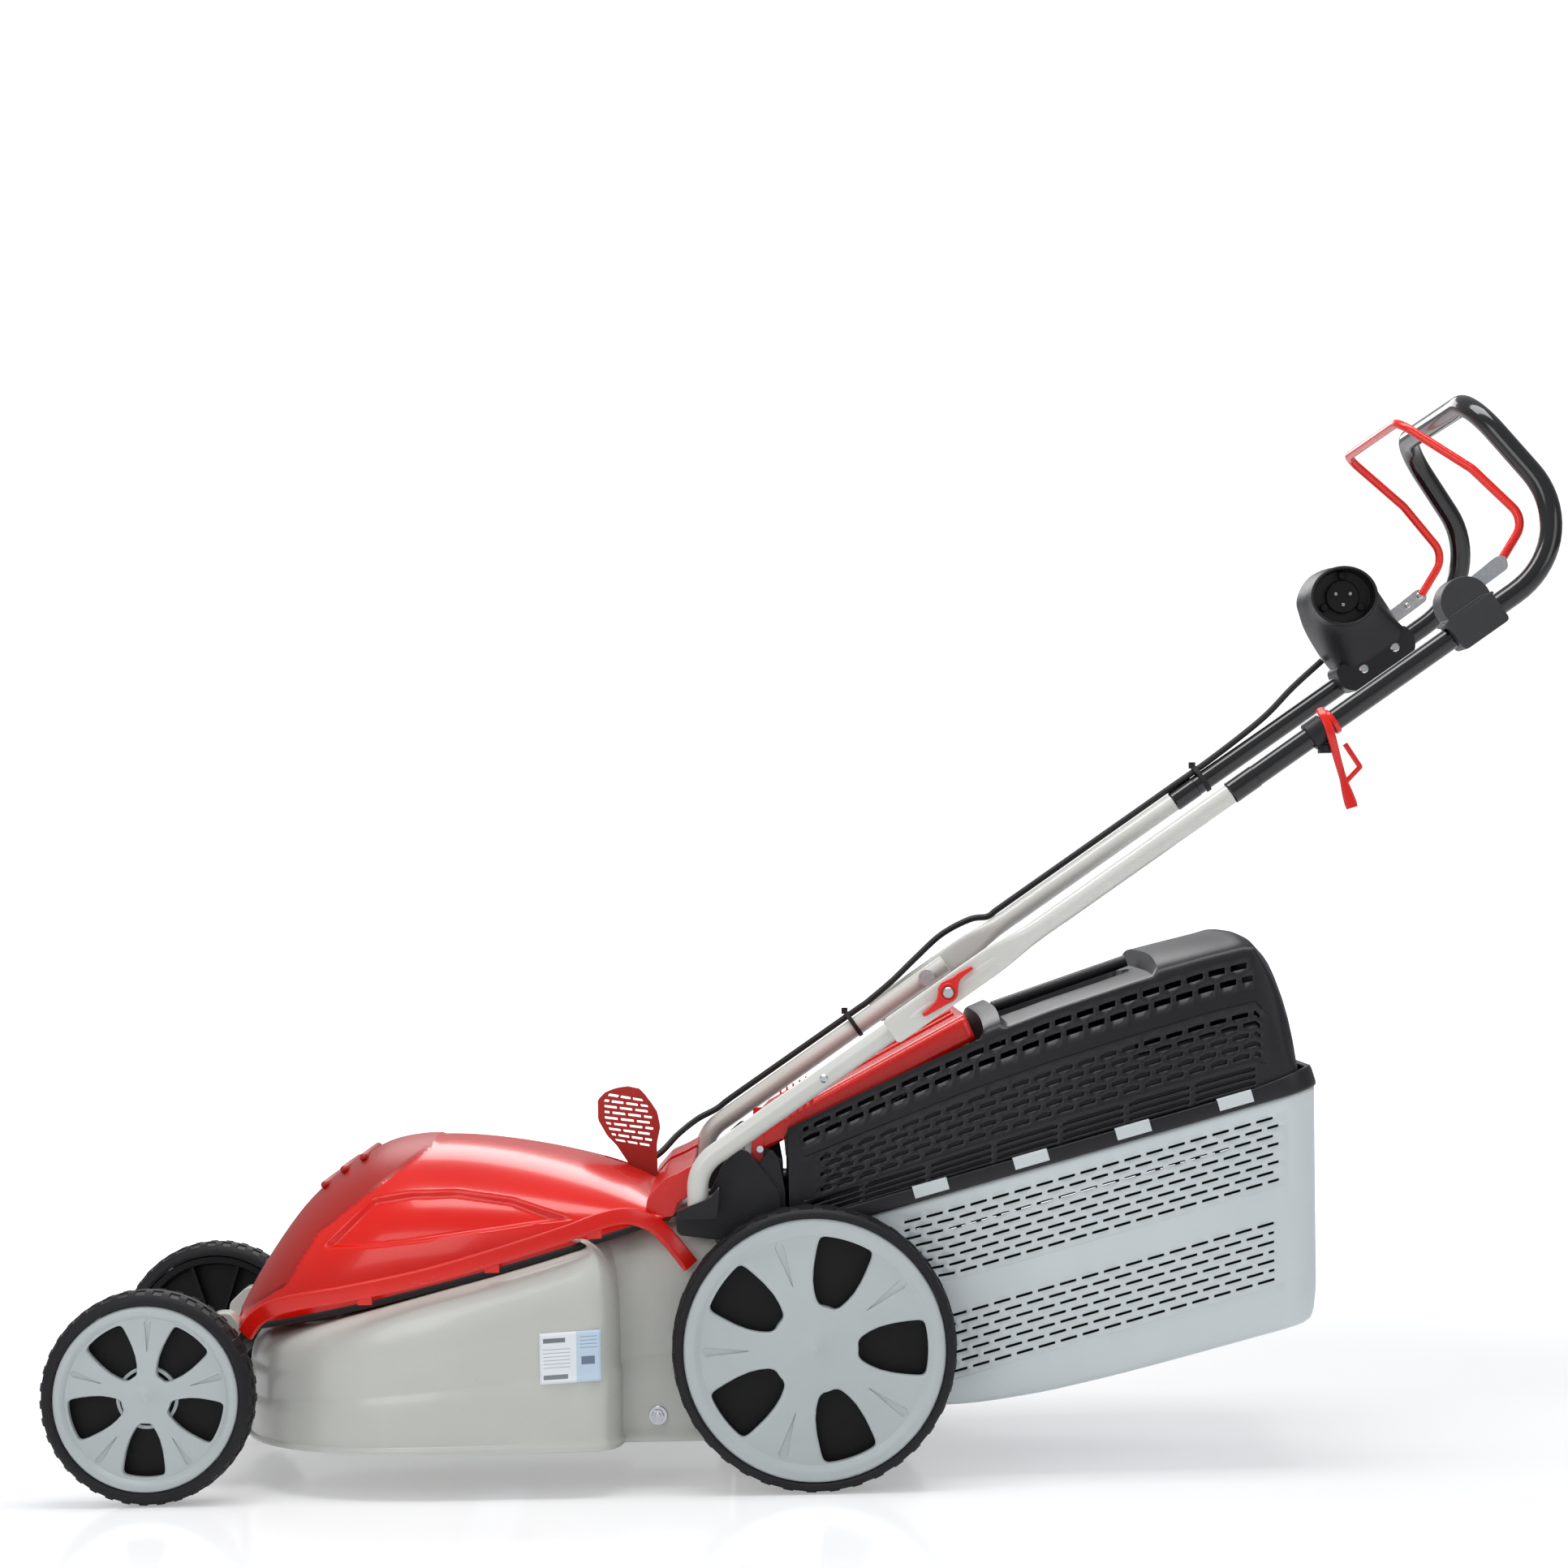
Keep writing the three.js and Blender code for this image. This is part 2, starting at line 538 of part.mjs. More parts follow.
// ---- Cord clamp on the left-hand tube, and the hook that takes the strain off the mains cord ----
const CLAMP_Y = 505;
const HOOK_Y = 520;
function collarOnHandle(y, innerRadius, outerRadius, length, segments) {
  const half = length / 2;
  const profile = [[innerRadius, -half], [outerRadius, -half], [outerRadius, half], [innerRadius, half]];
  profile.push(profile[0]);
  const points = profile.map(([radius, run]) => new THREE.Vector2(radius, run));
  const middle = onHandle(UPPER_TUBE_X, y);
  const geometry = new THREE.LatheGeometry(points, segments);
  return geometry.rotateX(HANDLE_ANGLE).translate(middle.x, middle.y, middle.z);
}
place("cord_clamp", collarOnHandle(CLAMP_Y, UPPER_TUBE_RADIUS + GAP, 16, 17, 18), blackPlastic);

const hookOutline = [
  [521, 733], [529, 735], [533, 712], [545, 722], [551, 718], [549, 690], [543, 690], [544, 711], [536, 703],
  [543, 686], [541, 664], [534, 661], [530, 668], [533, 684], [526, 706],
];
const hookRing = collarOnHandle(HOOK_Y, UPPER_TUBE_RADIUS + GAP, 15.5, 7, 18);
const hookShank = cut(
  plate(hookOutline, UPPER_TUBE_X - 3, UPPER_TUBE_X + 3),
  barBetween(onHandle(UPPER_TUBE_X, 490), onHandle(UPPER_TUBE_X, 560), 13, 18),
);
place("cord_hook", join(hookRing, hookShank), redPlastic);

// ---- Bail: the sprung wire that is held against the grip bar while the mower runs ----
const BAIL_X = 204;
const BAIL_WIRE = 4.5;
const bailHalf = [[BAIL_X, 699, 905, 0], [BAIL_X, 722, 944, 24], [184, 674, 998, 30], [152, 607, 1050, 26]];
const bailCorners = [
  ...bailHalf.map(([x, y, z, bend]) => [-x, y, z, bend]),
  ...[...bailHalf].reverse(),
];
place("bail_wire", bentRod(bailCorners, BAIL_WIRE, 8), redPlastic);
for (const [label, side] of [["left", 1], ["right", -1]]) {
  const outline = [[645, 862], [650, 861], [703, 898], [699, 907], [692, 907], [644, 874]];
  const inner = BAIL_X + BAIL_WIRE + GAP;
  const faces = [side * inner, side * (inner + 2.5)].sort((a, b) => a - b);
  const boss = [side * (inner + 1), side * (FITTING_INNER_X + 7)].sort((a, b) => a - b);
  place(`bail_bracket_${label}`, join(plate(outline, ...faces), pinAlongX(4, ...boss, BAIL_PIVOT_Y, BAIL_PIVOT_Z)), zinc);
}

// ---- Motor cable: from the motor, along the right-hand tubes, to the switch box ----
const CABLE_RADIUS = 3.5;
const CABLE_OFFSET = UPPER_TUBE_RADIUS + CABLE_RADIUS + 0.6;
const onTop = (x, y) => {
  const point = onHandle(x, y).addScaledVector(acrossHandle, CABLE_OFFSET);
  return [point.x, point.y, point.z];
};
const CABLE_ROUTE = {
  cable_lower: [
    [-120, -208, 284], [-120, -186, 291], [-132, -160, 304], [-165, -140, 322], [-200, -119, 336],
    [-213, -98, 346], onTop(-215, -74), onTop(-215, 0), onTop(-215, 60), onTop(-215, 72),
  ],
  cable_loop: [
    onTop(-215, 72), onTop(-215, 80), [-220, 100, 484], [-226, 126, 508], [-231, 156, 534], [-234, 188, 550],
    onTop(-234, 216), onTop(-234, 226),
  ],
  cable_upper: [onTop(-234, 226), onTop(-234, 250), onTop(-234, 420), onTop(-234, 572), [-234, 588, 812]],
};
for (const [name, stops] of Object.entries(CABLE_ROUTE)) {
  const curve = new THREE.CatmullRomCurve3(stops.map((stop) => new THREE.Vector3(...stop)), false, "centripetal");
  const points = curve.getPoints(stops.length * 3);
  const run = points[1].clone().sub(points[0]).normalize();
  if (name !== "cable_lower") points[0].addScaledVector(run, GAP);
  place(name, rodThrough(points, CABLE_RADIUS, 8), cableRubber);
}

// ---- Height adjuster: lever and the two cranked axles that it turns ----
const leverPaddle = [
  [-182, 266], [-162, 266], [-158, 292], [-161, 320], [-156, 341], [-160, 359], [-174, 379], [-186, 381], [-215, 373],
  [-223, 364], [-223, 343], [-213, 325], [-194, 308], [-187, 292],
];
place("height_lever", plate(leverPaddle, -63, -57), darkRedPlastic);

const FRONT_PIVOT = [-603, 112];
const REAR_PIVOT = [-58, 128];
const STUB_END = WHEEL_X + 9;
const axles = [
  ["front_axle", FRONT_PIVOT, [FRONT_AXLE_Y, FRONT_WHEEL_RADIUS]],
  ["rear_axle", REAR_PIVOT, [0, REAR_WHEEL_RADIUS]],
];
for (const [name, pivot, hub] of axles) {
  const half = [[STUB_END, ...hub, 0], [CRANK_X, ...hub, 9], [CRANK_X, ...pivot, 9]];
  const corners = [...half, ...half.map(([x, ...rest]) => [-x, ...rest]).reverse()];
  place(name, bentRod(corners, AXLE_RADIUS, 8), zinc);
}

const bearings = [
  ["front", 128, [[-618, 98], [-594, 98], [-585, 84], [-585, 150], [-606, 150], [-618, 126]], FRONT_PIVOT],
  ["rear", 166, [[-70, 112], [-44, 114], [-42, 140], [-56, 147.5], [-83, 147], [-83, 100]], REAR_PIVOT],
];
for (const [end, x, outline, [y, z]] of bearings) {
  for (const [label, side] of [["left", 1], ["right", -1]]) {
    const edges = [side * x - 5, side * x + 5];
    place(`${end}_bearing_${label}`, plate(outline, ...edges, [[y, z, AXLE_RADIUS + PIN_CLEARANCE]]), blackPlastic);
  }
}

// ---- Wheels: a tread ring, a dished core that runs on the axle, and a pressed-in rim cover with five windows ----
function windowedCover(rimRadius, firstWindow, side, y, z) {
  const disc = new THREE.Shape().absarc(0, 0, rimRadius, 0, 2 * Math.PI);
  const polar = (radius, degrees) => {
    const angle = THREE.MathUtils.degToRad(degrees);
    return [radius * Math.cos(angle), radius * Math.sin(angle)];
  };
  const INNER = 0.32 * rimRadius;
  const OUTER = 0.83 * rimRadius;
  for (let k = 0; k < 5; k++) {
    const middle = firstWindow + 72 * k;
    const window = new THREE.Path();
    window.moveTo(...polar(INNER, middle - 12));
    window.lineTo(...polar(INNER, middle + 12));
    window.lineTo(...polar(0.6 * rimRadius, middle + 17));
    window.lineTo(...polar(OUTER, middle + 16));
    window.lineTo(...polar(OUTER, middle - 16));
    window.lineTo(...polar(0.6 * rimRadius, middle - 17));
    window.closePath();
    disc.holes.push(window);
  }
  const COVER_THICKNESS = 7;
  const geometry = new THREE.ExtrudeGeometry(disc, { depth: COVER_THICKNESS, bevelEnabled: false, curveSegments: 20 });
  geometry.rotateX(Math.PI / 2).rotateZ(Math.PI / 2);
  const outerFace = WHEEL_X + WHEEL_WIDTH / 2;
  return geometry.translate(side > 0 ? outerFace - COVER_THICKNESS : -outerFace, y, z);
}

const wheels = [
  ["front", FRONT_AXLE_Y, FRONT_WHEEL_RADIUS, 91, 54],
  ["rear", 0, REAR_WHEEL_RADIUS, 129, 0],
];
const TYRE_SIDES = 32;
for (const [end, y, radius, rimRadius, firstWindow] of wheels) {
  for (const [label, side] of [["left", 1], ["right", -1]]) {
    const middle = side * WHEEL_X;
    const half = WHEEL_WIDTH / 2;
    const flat = radius / Math.cos(Math.PI / TYRE_SIDES);
    const bead = (rimRadius + GAP) / Math.cos(Math.PI / TYRE_SIDES);
    const tread = [
      [bead, middle - half + 2], [flat - 3, middle - half], [flat, middle - half + 5],
      [flat, middle + half - 5], [flat - 3, middle + half], [bead, middle + half - 2], [bead, middle - half + 2],
    ];
    place(`${end}_tyre_${label}`, turnedAboutX(tread, TYRE_SIDES, y, radius), tyreRubber);
    const bore = AXLE_RADIUS + PIN_CLEARANCE;
    const inboard = -half + 3;
    const outboard = half - 8;
    const dish = [
      [bore, inboard], [17, inboard], [18, -3], [rimRadius - 11, -3], [rimRadius - 8, inboard],
      [rimRadius, inboard], [rimRadius, outboard], [rimRadius - 8, outboard], [rimRadius - 11, 2], [18, 2],
      [bore, outboard], [bore, inboard],
    ].map(([at, run]) => [at, middle + side * run]);
    if (side < 0) dish.reverse();
    place(`${end}_wheel_core_${label}`, turnedAboutX(dish, 20, y, radius), blackPlastic);
    place(`${end}_rim_cover_${label}`, windowedCover(rimRadius, firstWindow, side, y, radius), rimPlastic);
  }
}

// ---- Motor and cutting gear ----
const MOTOR_BASE = MOTOR_SEAT_Z + 1;
const MOTOR_TOP = 320;
const SHAFT_RADIUS = 8;
const housingProfile = [
  [58, MOTOR_BASE], [66, MOTOR_BASE], [66, MOTOR_TOP - 8], [58, MOTOR_TOP], [12, MOTOR_TOP],
  [12, MOTOR_TOP - 6], [58, MOTOR_TOP - 10], [58, MOTOR_BASE],
];
place("motor_housing", turnedAboutBlade(housingProfile, 28), capPlastic);
place("motor_shaft", turnedAboutBlade([[0, 73], [SHAFT_RADIUS, 73], [SHAFT_RADIUS, 311], [0, 311]], 16), steel);
const ringAboutShaft = (inner, outer, low, high, segments) =>
  turnedAboutBlade([[inner, low], [outer, low], [outer, high], [inner, high], [inner, low]], segments);
place("motor_rotor", ringAboutShaft(SHAFT_RADIUS + GAP, 44, 246, 300, 24), steel);
place("blade_carrier", ringAboutShaft(SHAFT_RADIUS + GAP, 42, 69, 100, 24), blackPlastic);

const BLADE_HALF_WIDTH = 26;
const bladeBar = block(
  [-BLADE_LENGTH / 2, BLADE_Y - BLADE_HALF_WIDTH, 64],
  [BLADE_LENGTH / 2, BLADE_Y + BLADE_HALF_WIDTH, 68],
);
place("blade", cut(bladeBar, turnedAboutBlade([[0, 60], [5.4, 60], [5.4, 72], [0, 72]], 16)), steel);
const boltProfile = [[0, 55], [11, 55], [11, 63.4], [5, 63.4], [5, 72.6], [0, 72.6]];
place("blade_bolt", turnedAboutBlade(boltProfile, 12), zinc);

// ---- Rear flap: the sprung guard over the chute, which rests on the catcher ----
const FLAP_HALF_WIDTH = 165;
const FLAP_HINGE = [-50, 332];
const flapSkirt = [[-58, 332], [-50, 324], [-40, 329], [168, 435], [156, 462], [-32, 360], [-52, 342]];
const flapTop = [[-54, 340], [-50, 334], [158, 456], [156, 462], [-32, 360]];
const rodHole = pinAlongX(3.5 + PIN_CLEARANCE, -180, 180, ...FLAP_HINGE);
const flapBody = join(
  plate(flapTop, -FLAP_HALF_WIDTH, FLAP_HALF_WIDTH),
  plate(flapSkirt, FLAP_HALF_WIDTH - 4, FLAP_HALF_WIDTH),
  plate(flapSkirt, -FLAP_HALF_WIDTH, -FLAP_HALF_WIDTH + 4),
);
place("rear_flap", cut(flapBody, rodHole), redPlastic);
place("flap_rod", pinAlongX(3.5, -SOCKET_INNER_X + GAP, SOCKET_INNER_X - GAP, ...FLAP_HINGE, 10), zinc);

// ---- Grass catcher: a light tub, a dark slotted lid and a grip over a recess ----
const CATCHER_FRONT_Y = -22;
const CATCHER_REAR_Y = 507;
const CATCHER_WALL = 3;
const RIM_SLOPE = 0.266;
const rimZ = (y) => 250 + y * RIM_SLOPE;

// One ring across the catcher: a rounded trapezoid between a low and a high edge.
function crossSection(y, low, high, lowHalf, highHalf, lowCorner, highCorner) {
  const points = [];
  const corners = [
    [lowHalf, low, lowCorner, -90], [highHalf, high, highCorner, 0],
    [-highHalf, high, highCorner, 90], [-lowHalf, low, lowCorner, 180],
  ];
  for (const [x, z, radius, start] of corners) {
    const centreX = x - Math.sign(x) * radius;
    const centreZ = z + (z === low ? radius : -radius);
    for (let k = 0; k <= 3; k++) {
      const angle = THREE.MathUtils.degToRad(start + 30 * k);
      points.push(new THREE.Vector3(centreX + radius * Math.cos(angle), y, centreZ + radius * Math.sin(angle)));
    }
  }
  return points;
}

// Each entry is [y, height of the floor].
const TUB_FLOOR = [
  [CATCHER_FRONT_Y, 168], [8, 118], [52, 80], [129, 71], [212, 79], [284, 93], [356, 110], [447, 133],
  [490, 148], [503, 168], [CATCHER_REAR_Y, 210],
];
function tubRings(thickness) {
  return TUB_FLOOR.map(([station, floor], i) => {
    let y = station;
    if (i === 0) y += thickness;
    if (i === TUB_FLOOR.length - 1) y -= thickness;
    const lift = thickness > 0 ? 20 : -1;
    const lowHalf = 172 - thickness;
    const highHalf = 188 - thickness;
    return crossSection(y, floor + thickness, rimZ(y) + lift, lowHalf, highHalf, 22, 1);
  });
}
const mouth = block([-CHUTE_HALF_WIDTH + 6, CATCHER_FRONT_Y - 5, CHUTE_BOTTOM + 18], [CHUTE_HALF_WIDTH - 6, 6, 262]);
place("catcher_tub", cut(loft(tubRings(0)), loft(tubRings(CATCHER_WALL)), mouth), tubPlastic);

// Each entry is [y, height of the roof].
const LID_ROOF = [
  [CATCHER_FRONT_Y, 322], [60, 366], [170, 424], [178, 461], [195, 468], [342, 516], [420, 534], [446, 539],
  [460, 512], [474, 466], [489, 407],
];
const LID_HALF_LOW = 188;
const LID_HALF_HIGH = 176;
function lidRings(thickness) {
  return LID_ROOF.map(([station, roof], i) => {
    let y = station;
    if (i === 0) y += thickness;
    if (i === LID_ROOF.length - 1) y -= thickness;
    const drop = thickness > 0 ? -20 : 4;
    const corner = Math.min(34, (roof - rimZ(y)) / 2 - 4);
    return crossSection(
      y, rimZ(y) + drop, roof - thickness, LID_HALF_LOW - thickness, LID_HALF_HIGH - thickness, 1, corner,
    );
  });
}
const RIM_HALF = 194;
const rimOutline = [
  [CATCHER_FRONT_Y, rimZ(CATCHER_FRONT_Y)], [CATCHER_REAR_Y, rimZ(CATCHER_REAR_Y)],
  [CATCHER_REAR_Y - 4, rimZ(CATCHER_REAR_Y) + 20], [489, rimZ(489) + 20], [CATCHER_FRONT_Y, rimZ(CATCHER_FRONT_Y) + 14],
];
const rimInner = [
  [CATCHER_FRONT_Y + 4, rimZ(CATCHER_FRONT_Y) - 20], [486, rimZ(486) - 20],
  [486, rimZ(486) + 60], [CATCHER_FRONT_Y + 4, rimZ(CATCHER_FRONT_Y) + 60],
];
const GRIP_FROM_Y = 200;
const GRIP_TO_Y = 332;
const roofLine = (y) => along(LID_ROOF, y);
function recess(spread, depth) {
  const outline = [
    [GRIP_FROM_Y - spread, roofLine(GRIP_FROM_Y) - depth], [GRIP_TO_Y + spread, roofLine(GRIP_TO_Y) - depth],
    [GRIP_TO_Y + spread, 560], [GRIP_FROM_Y - spread, 560],
  ];
  return plate(outline, -58 - spread, 58 + spread);
}
const lidShell = cut(loft(lidRings(0)), loft(lidRings(CATCHER_WALL)), mouth);
const pan = geometryOf(solidOf(recess(CATCHER_WALL, 35)).intersect(solidOf(loft(lidRings(0)))));
const rimBand = cut(plate(rimOutline, -RIM_HALF, RIM_HALF), plate(rimInner, -RIM_HALF + 8, RIM_HALF - 8));
place("catcher_lid", cut(join(lidShell, pan, rimBand), recess(0, 32), mouth), lidPlastic);

const gripLine = (y) => roofLine(y) - 1;
const gripOutline = [
  [GRIP_FROM_Y + GAP, gripLine(GRIP_FROM_Y) - 12], [GRIP_TO_Y - GAP, gripLine(GRIP_TO_Y) - 12],
  [GRIP_TO_Y - GAP, gripLine(GRIP_TO_Y)], [GRIP_FROM_Y + GAP, gripLine(GRIP_FROM_Y)],
];
place("catcher_grip", plate(gripOutline, -15, 15), blackPlastic);

// ---- The finished mower stands with the middle of its length at Y = 0 ----
const extent = new THREE.Box3().setFromObject(mower);
mower.position.y = -(extent.min.y + extent.max.y) / 2;

export default mower;
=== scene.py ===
import bmesh
import bpy
import numpy as np
from mathutils import Matrix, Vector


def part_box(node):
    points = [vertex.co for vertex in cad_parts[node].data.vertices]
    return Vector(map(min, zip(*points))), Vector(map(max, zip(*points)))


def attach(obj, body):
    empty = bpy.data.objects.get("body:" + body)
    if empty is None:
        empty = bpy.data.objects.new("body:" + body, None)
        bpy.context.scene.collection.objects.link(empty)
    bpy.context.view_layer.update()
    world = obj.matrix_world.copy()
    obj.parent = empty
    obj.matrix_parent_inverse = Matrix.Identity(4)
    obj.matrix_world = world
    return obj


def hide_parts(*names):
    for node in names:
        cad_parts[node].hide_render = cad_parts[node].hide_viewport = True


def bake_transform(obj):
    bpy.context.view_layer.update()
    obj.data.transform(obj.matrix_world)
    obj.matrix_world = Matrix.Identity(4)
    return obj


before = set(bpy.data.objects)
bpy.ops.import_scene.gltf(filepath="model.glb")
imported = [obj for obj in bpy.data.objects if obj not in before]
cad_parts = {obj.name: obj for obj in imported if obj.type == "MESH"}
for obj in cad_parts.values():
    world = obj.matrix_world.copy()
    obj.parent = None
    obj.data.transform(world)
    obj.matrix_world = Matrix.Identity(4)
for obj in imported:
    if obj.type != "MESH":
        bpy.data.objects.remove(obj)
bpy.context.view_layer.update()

scene = bpy.context.scene


# ---- Camera ----
# The mower is seen square from its left-hand side, from 3.6 m away and at the height of the handle's
# middle, through a fairly long lens that looks a little upwards.
LENS_MM = 79.66
CAMERA_PLACE = (3.640, -0.042086, 0.61524)
CAMERA_FORWARD = (-0.99970568, 0.00724933, 0.02315169)
CAMERA_UP = (0.02328126, 0.0183311, 0.99956088)
CAMERA_RIGHT = (0.00682175, 0.99980569, -0.01849448)

lens = bpy.data.cameras.new("camera")
lens.lens = LENS_MM
lens.sensor_width = 36.0
camera = bpy.data.objects.new("camera", lens)
scene.collection.objects.link(camera)
columns = (CAMERA_RIGHT, CAMERA_UP, tuple(-c for c in CAMERA_FORWARD), CAMERA_PLACE)
camera.matrix_world = Matrix([[column[row] for column in columns] for row in range(3)] + [[0, 0, 0, 1]])
scene.camera = camera


# ---- Studio ----
# A pale polished floor that turns to plain white away from the mower, under four soft boxes: one
# overhead, one in front beside the camera, and a small one towards the rear.
FLOOR_HALF = 30.0
SOFT_BOXES = [
    # name, place, point it faces, width, height, watts
    ("overhead_box", (0.35, -0.05, 2.7), (0.0, -0.05, 0.3), 2.4, 0.9, 40),
    ("side_box", (2.7, -1.7, 1.7), (0.0, -0.1, 0.35), 1.5, 1.5, 15),
    ("rear_box", (1.9, 2.3, 1.6), (0.0, 0.4, 0.5), 1.1, 1.4, 7),
    ("far_box", (-2.4, -0.4, 1.9), (0.0, 0.0, 0.4), 1.8, 1.2, 20),
]


def node_tools(tree):
    """Short ways to add a node with its values, and to join two sockets."""
    def add(kind, **values):
        node = tree.nodes.new(kind)
        for key, value in values.items():
            setattr(node, key, value)
        return node
    return add, tree.links.new


def studio_floor():
    """White lacquer, glossy near the mower and glowing plain white beyond it."""
    material = bpy.data.materials.new("studio_floor")
    material.use_nodes = True
    add, link = node_tools(material.node_tree)
    shader = material.node_tree.nodes["Principled BSDF"]
    shader.inputs["Base Color"].default_value = (0.93, 0.93, 0.94, 1)
    shader.inputs["Roughness"].default_value = 0.12
    shader.inputs["Emission Color"].default_value = (1, 1, 1, 1)
    place = add("ShaderNodeTexCoord")
    length = add("ShaderNodeVectorMath", operation="LENGTH")
    fade = add("ShaderNodeMapRange", interpolation_type="SMOOTHSTEP")
    fade.inputs["From Min"].default_value = 0.9
    fade.inputs["From Max"].default_value = 2.6
    gloss = add("ShaderNodeMapRange")
    gloss.inputs["To Min"].default_value = 0.5
    gloss.inputs["To Max"].default_value = 0.0
    link(place.outputs["Object"], length.inputs[0])
    link(length.outputs["Value"], fade.inputs["Value"])
    glow = add("ShaderNodeMapRange")
    glow.inputs["To Min"].default_value = 0.34
    glow.inputs["To Max"].default_value = 1.0
    link(fade.outputs["Result"], glow.inputs["Value"])
    seen = add("ShaderNodeLightPath")
    share = add("ShaderNodeMapRange")
    share.inputs["To Min"].default_value = 0.3
    share.inputs["To Max"].default_value = 1.0
    strength = add("ShaderNodeMath", operation="MULTIPLY")
    link(seen.outputs["Is Camera Ray"], share.inputs["Value"])
    link(glow.outputs["Result"], strength.inputs[0])
    link(share.outputs["Result"], strength.inputs[1])
    link(strength.outputs["Value"], shader.inputs["Emission Strength"])
    link(fade.outputs["Result"], gloss.inputs["Value"])
    link(gloss.outputs["Result"], shader.inputs["Specular IOR Level"])
    return material


def studio_world():
    """White to the eye, but as a light only a grey that dims below and behind, so that forms show."""
    world = bpy.data.worlds.new("studio")
    world.use_nodes = True
    add, link = node_tools(world.node_tree)
    seen = world.node_tree.nodes["Background"]
    seen.inputs["Color"].default_value = (1, 1, 1, 1)
    seen.inputs["Strength"].default_value = 1.05
    lit = add("ShaderNodeBackground")
    lit.inputs["Color"].default_value = (0.95, 0.97, 1, 1)
    look = add("ShaderNodeTexCoord")
    aim = add("ShaderNodeVectorMath", operation="DOT_PRODUCT")
    aim.inputs[1].default_value = (0.25, -0.45, 0.86)
    shade = add("ShaderNodeMapRange")
    shade.inputs["From Min"].default_value = -0.9
    shade.inputs["From Max"].default_value = 0.8
    shade.inputs["To Min"].default_value = 0.12
    shade.inputs["To Max"].default_value = 0.52
    link(look.outputs["Generated"], aim.inputs[0])
    link(aim.outputs["Value"], shade.inputs["Value"])
    link(shade.outputs["Result"], lit.inputs["Strength"])
    path = add("ShaderNodeLightPath")
    mix = add("ShaderNodeMixShader")
    link(path.outputs["Is Camera Ray"], mix.inputs["Fac"])
    link(lit.outputs[0], mix.inputs[1])
    link(seen.outputs[0], mix.inputs[2])
    link(mix.outputs[0], world.node_tree.nodes["World Output"].inputs["Surface"])
    return world


floor_mesh = bpy.data.meshes.new("floor")
floor_corners = [(x * FLOOR_HALF, y * FLOOR_HALF, 0) for x, y in ((-1, -1), (1, -1), (1, 1), (-1, 1))]
floor_mesh.from_pydata(floor_corners, [], [(0, 1, 2, 3)])
floor_mesh.materials.append(studio_floor())
floor = bpy.data.objects.new("floor", floor_mesh)
scene.collection.objects.link(floor)
scene.world = studio_world()
scene.view_settings.view_transform = "Standard"

for name, place, target, width, height, watts in SOFT_BOXES:
    lamp = bpy.data.lights.new(name, "AREA")
    lamp.shape = "RECTANGLE"
    lamp.size = width
    lamp.size_y = height
    lamp.energy = watts
    box_object = bpy.data.objects.new(name, lamp)
    away = np.subtract(place, target)
    away = away / np.linalg.norm(away)
    side = np.cross((0, 0, 1), away)
    side = side / max(np.linalg.norm(side), 1e-6)
    rise = np.cross(away, side)
    axes = (side, rise, away, place)
    rows = [[float(axis[row]) for axis in axes] for row in range(3)]
    box_object.matrix_world = Matrix(rows + [[0, 0, 0, 1]])
    scene.collection.objects.link(box_object)


# ---- Tyres ----
# Four one-piece rubber treads, pressed over plastic rims. Each has a smooth middle rib between two
# grooves, and block lugs on both shoulders, staggered by half a pitch.
rear_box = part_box("rear_tyre_left")
REAR_AXLE_Y = (rear_box[0][1] + rear_box[1][1]) / 2
WHEEL_X = 219.0
WHEEL_HALF = 22.5
WHEELS = [
    # end, axle's Y, radius, rim radius, middle of the first window in degrees
    ("front", -654.0, 105.0, 91.0, 51.7),
    ("rear", 0.0, 140.0, 129.0, 0.0),
]
SIDES = (("left", 1), ("right", -1))
LUG_PITCHES = 38
LUG_DEPTH = 1.8


def in_frame(points):
    """Millimetres from the rear axle's line and the ground, as metres in the frame."""
    placed = np.asarray(points, float) * 0.001
    placed[..., 1] += REAR_AXLE_Y
    return placed


def skin(points, loop_u=False, loop_v=False, keep=None):
    """A grid of points [u, v] as quads; a looped direction joins its end to its start."""
    rows, cols = points.shape[:2]
    u = np.arange(rows if loop_u else rows - 1)
    v = np.arange(cols if loop_v else cols - 1)
    u, v = np.meshgrid(u, v, indexing="ij")
    corners = [(u, v), (u + 1, v), (u + 1, v + 1), (u, v + 1)]
    faces = np.stack([(a % rows) * cols + b % cols for a, b in corners], -1)
    faces = faces.reshape(-1, 4) if keep is None else faces[keep]
    return points.reshape(-1, 3), [tuple(face) for face in faces.tolist()]


def capped(points, loop_u=False):
    """A looped grid of rings [u, v], closed at both ends by flat faces."""
    verts, faces = skin(points, loop_u, True)
    rows, cols = points.shape[:2]
    faces.append(tuple(range(cols)))
    faces.append(tuple(range((rows - 1) * cols, rows * cols)))
    return verts, faces


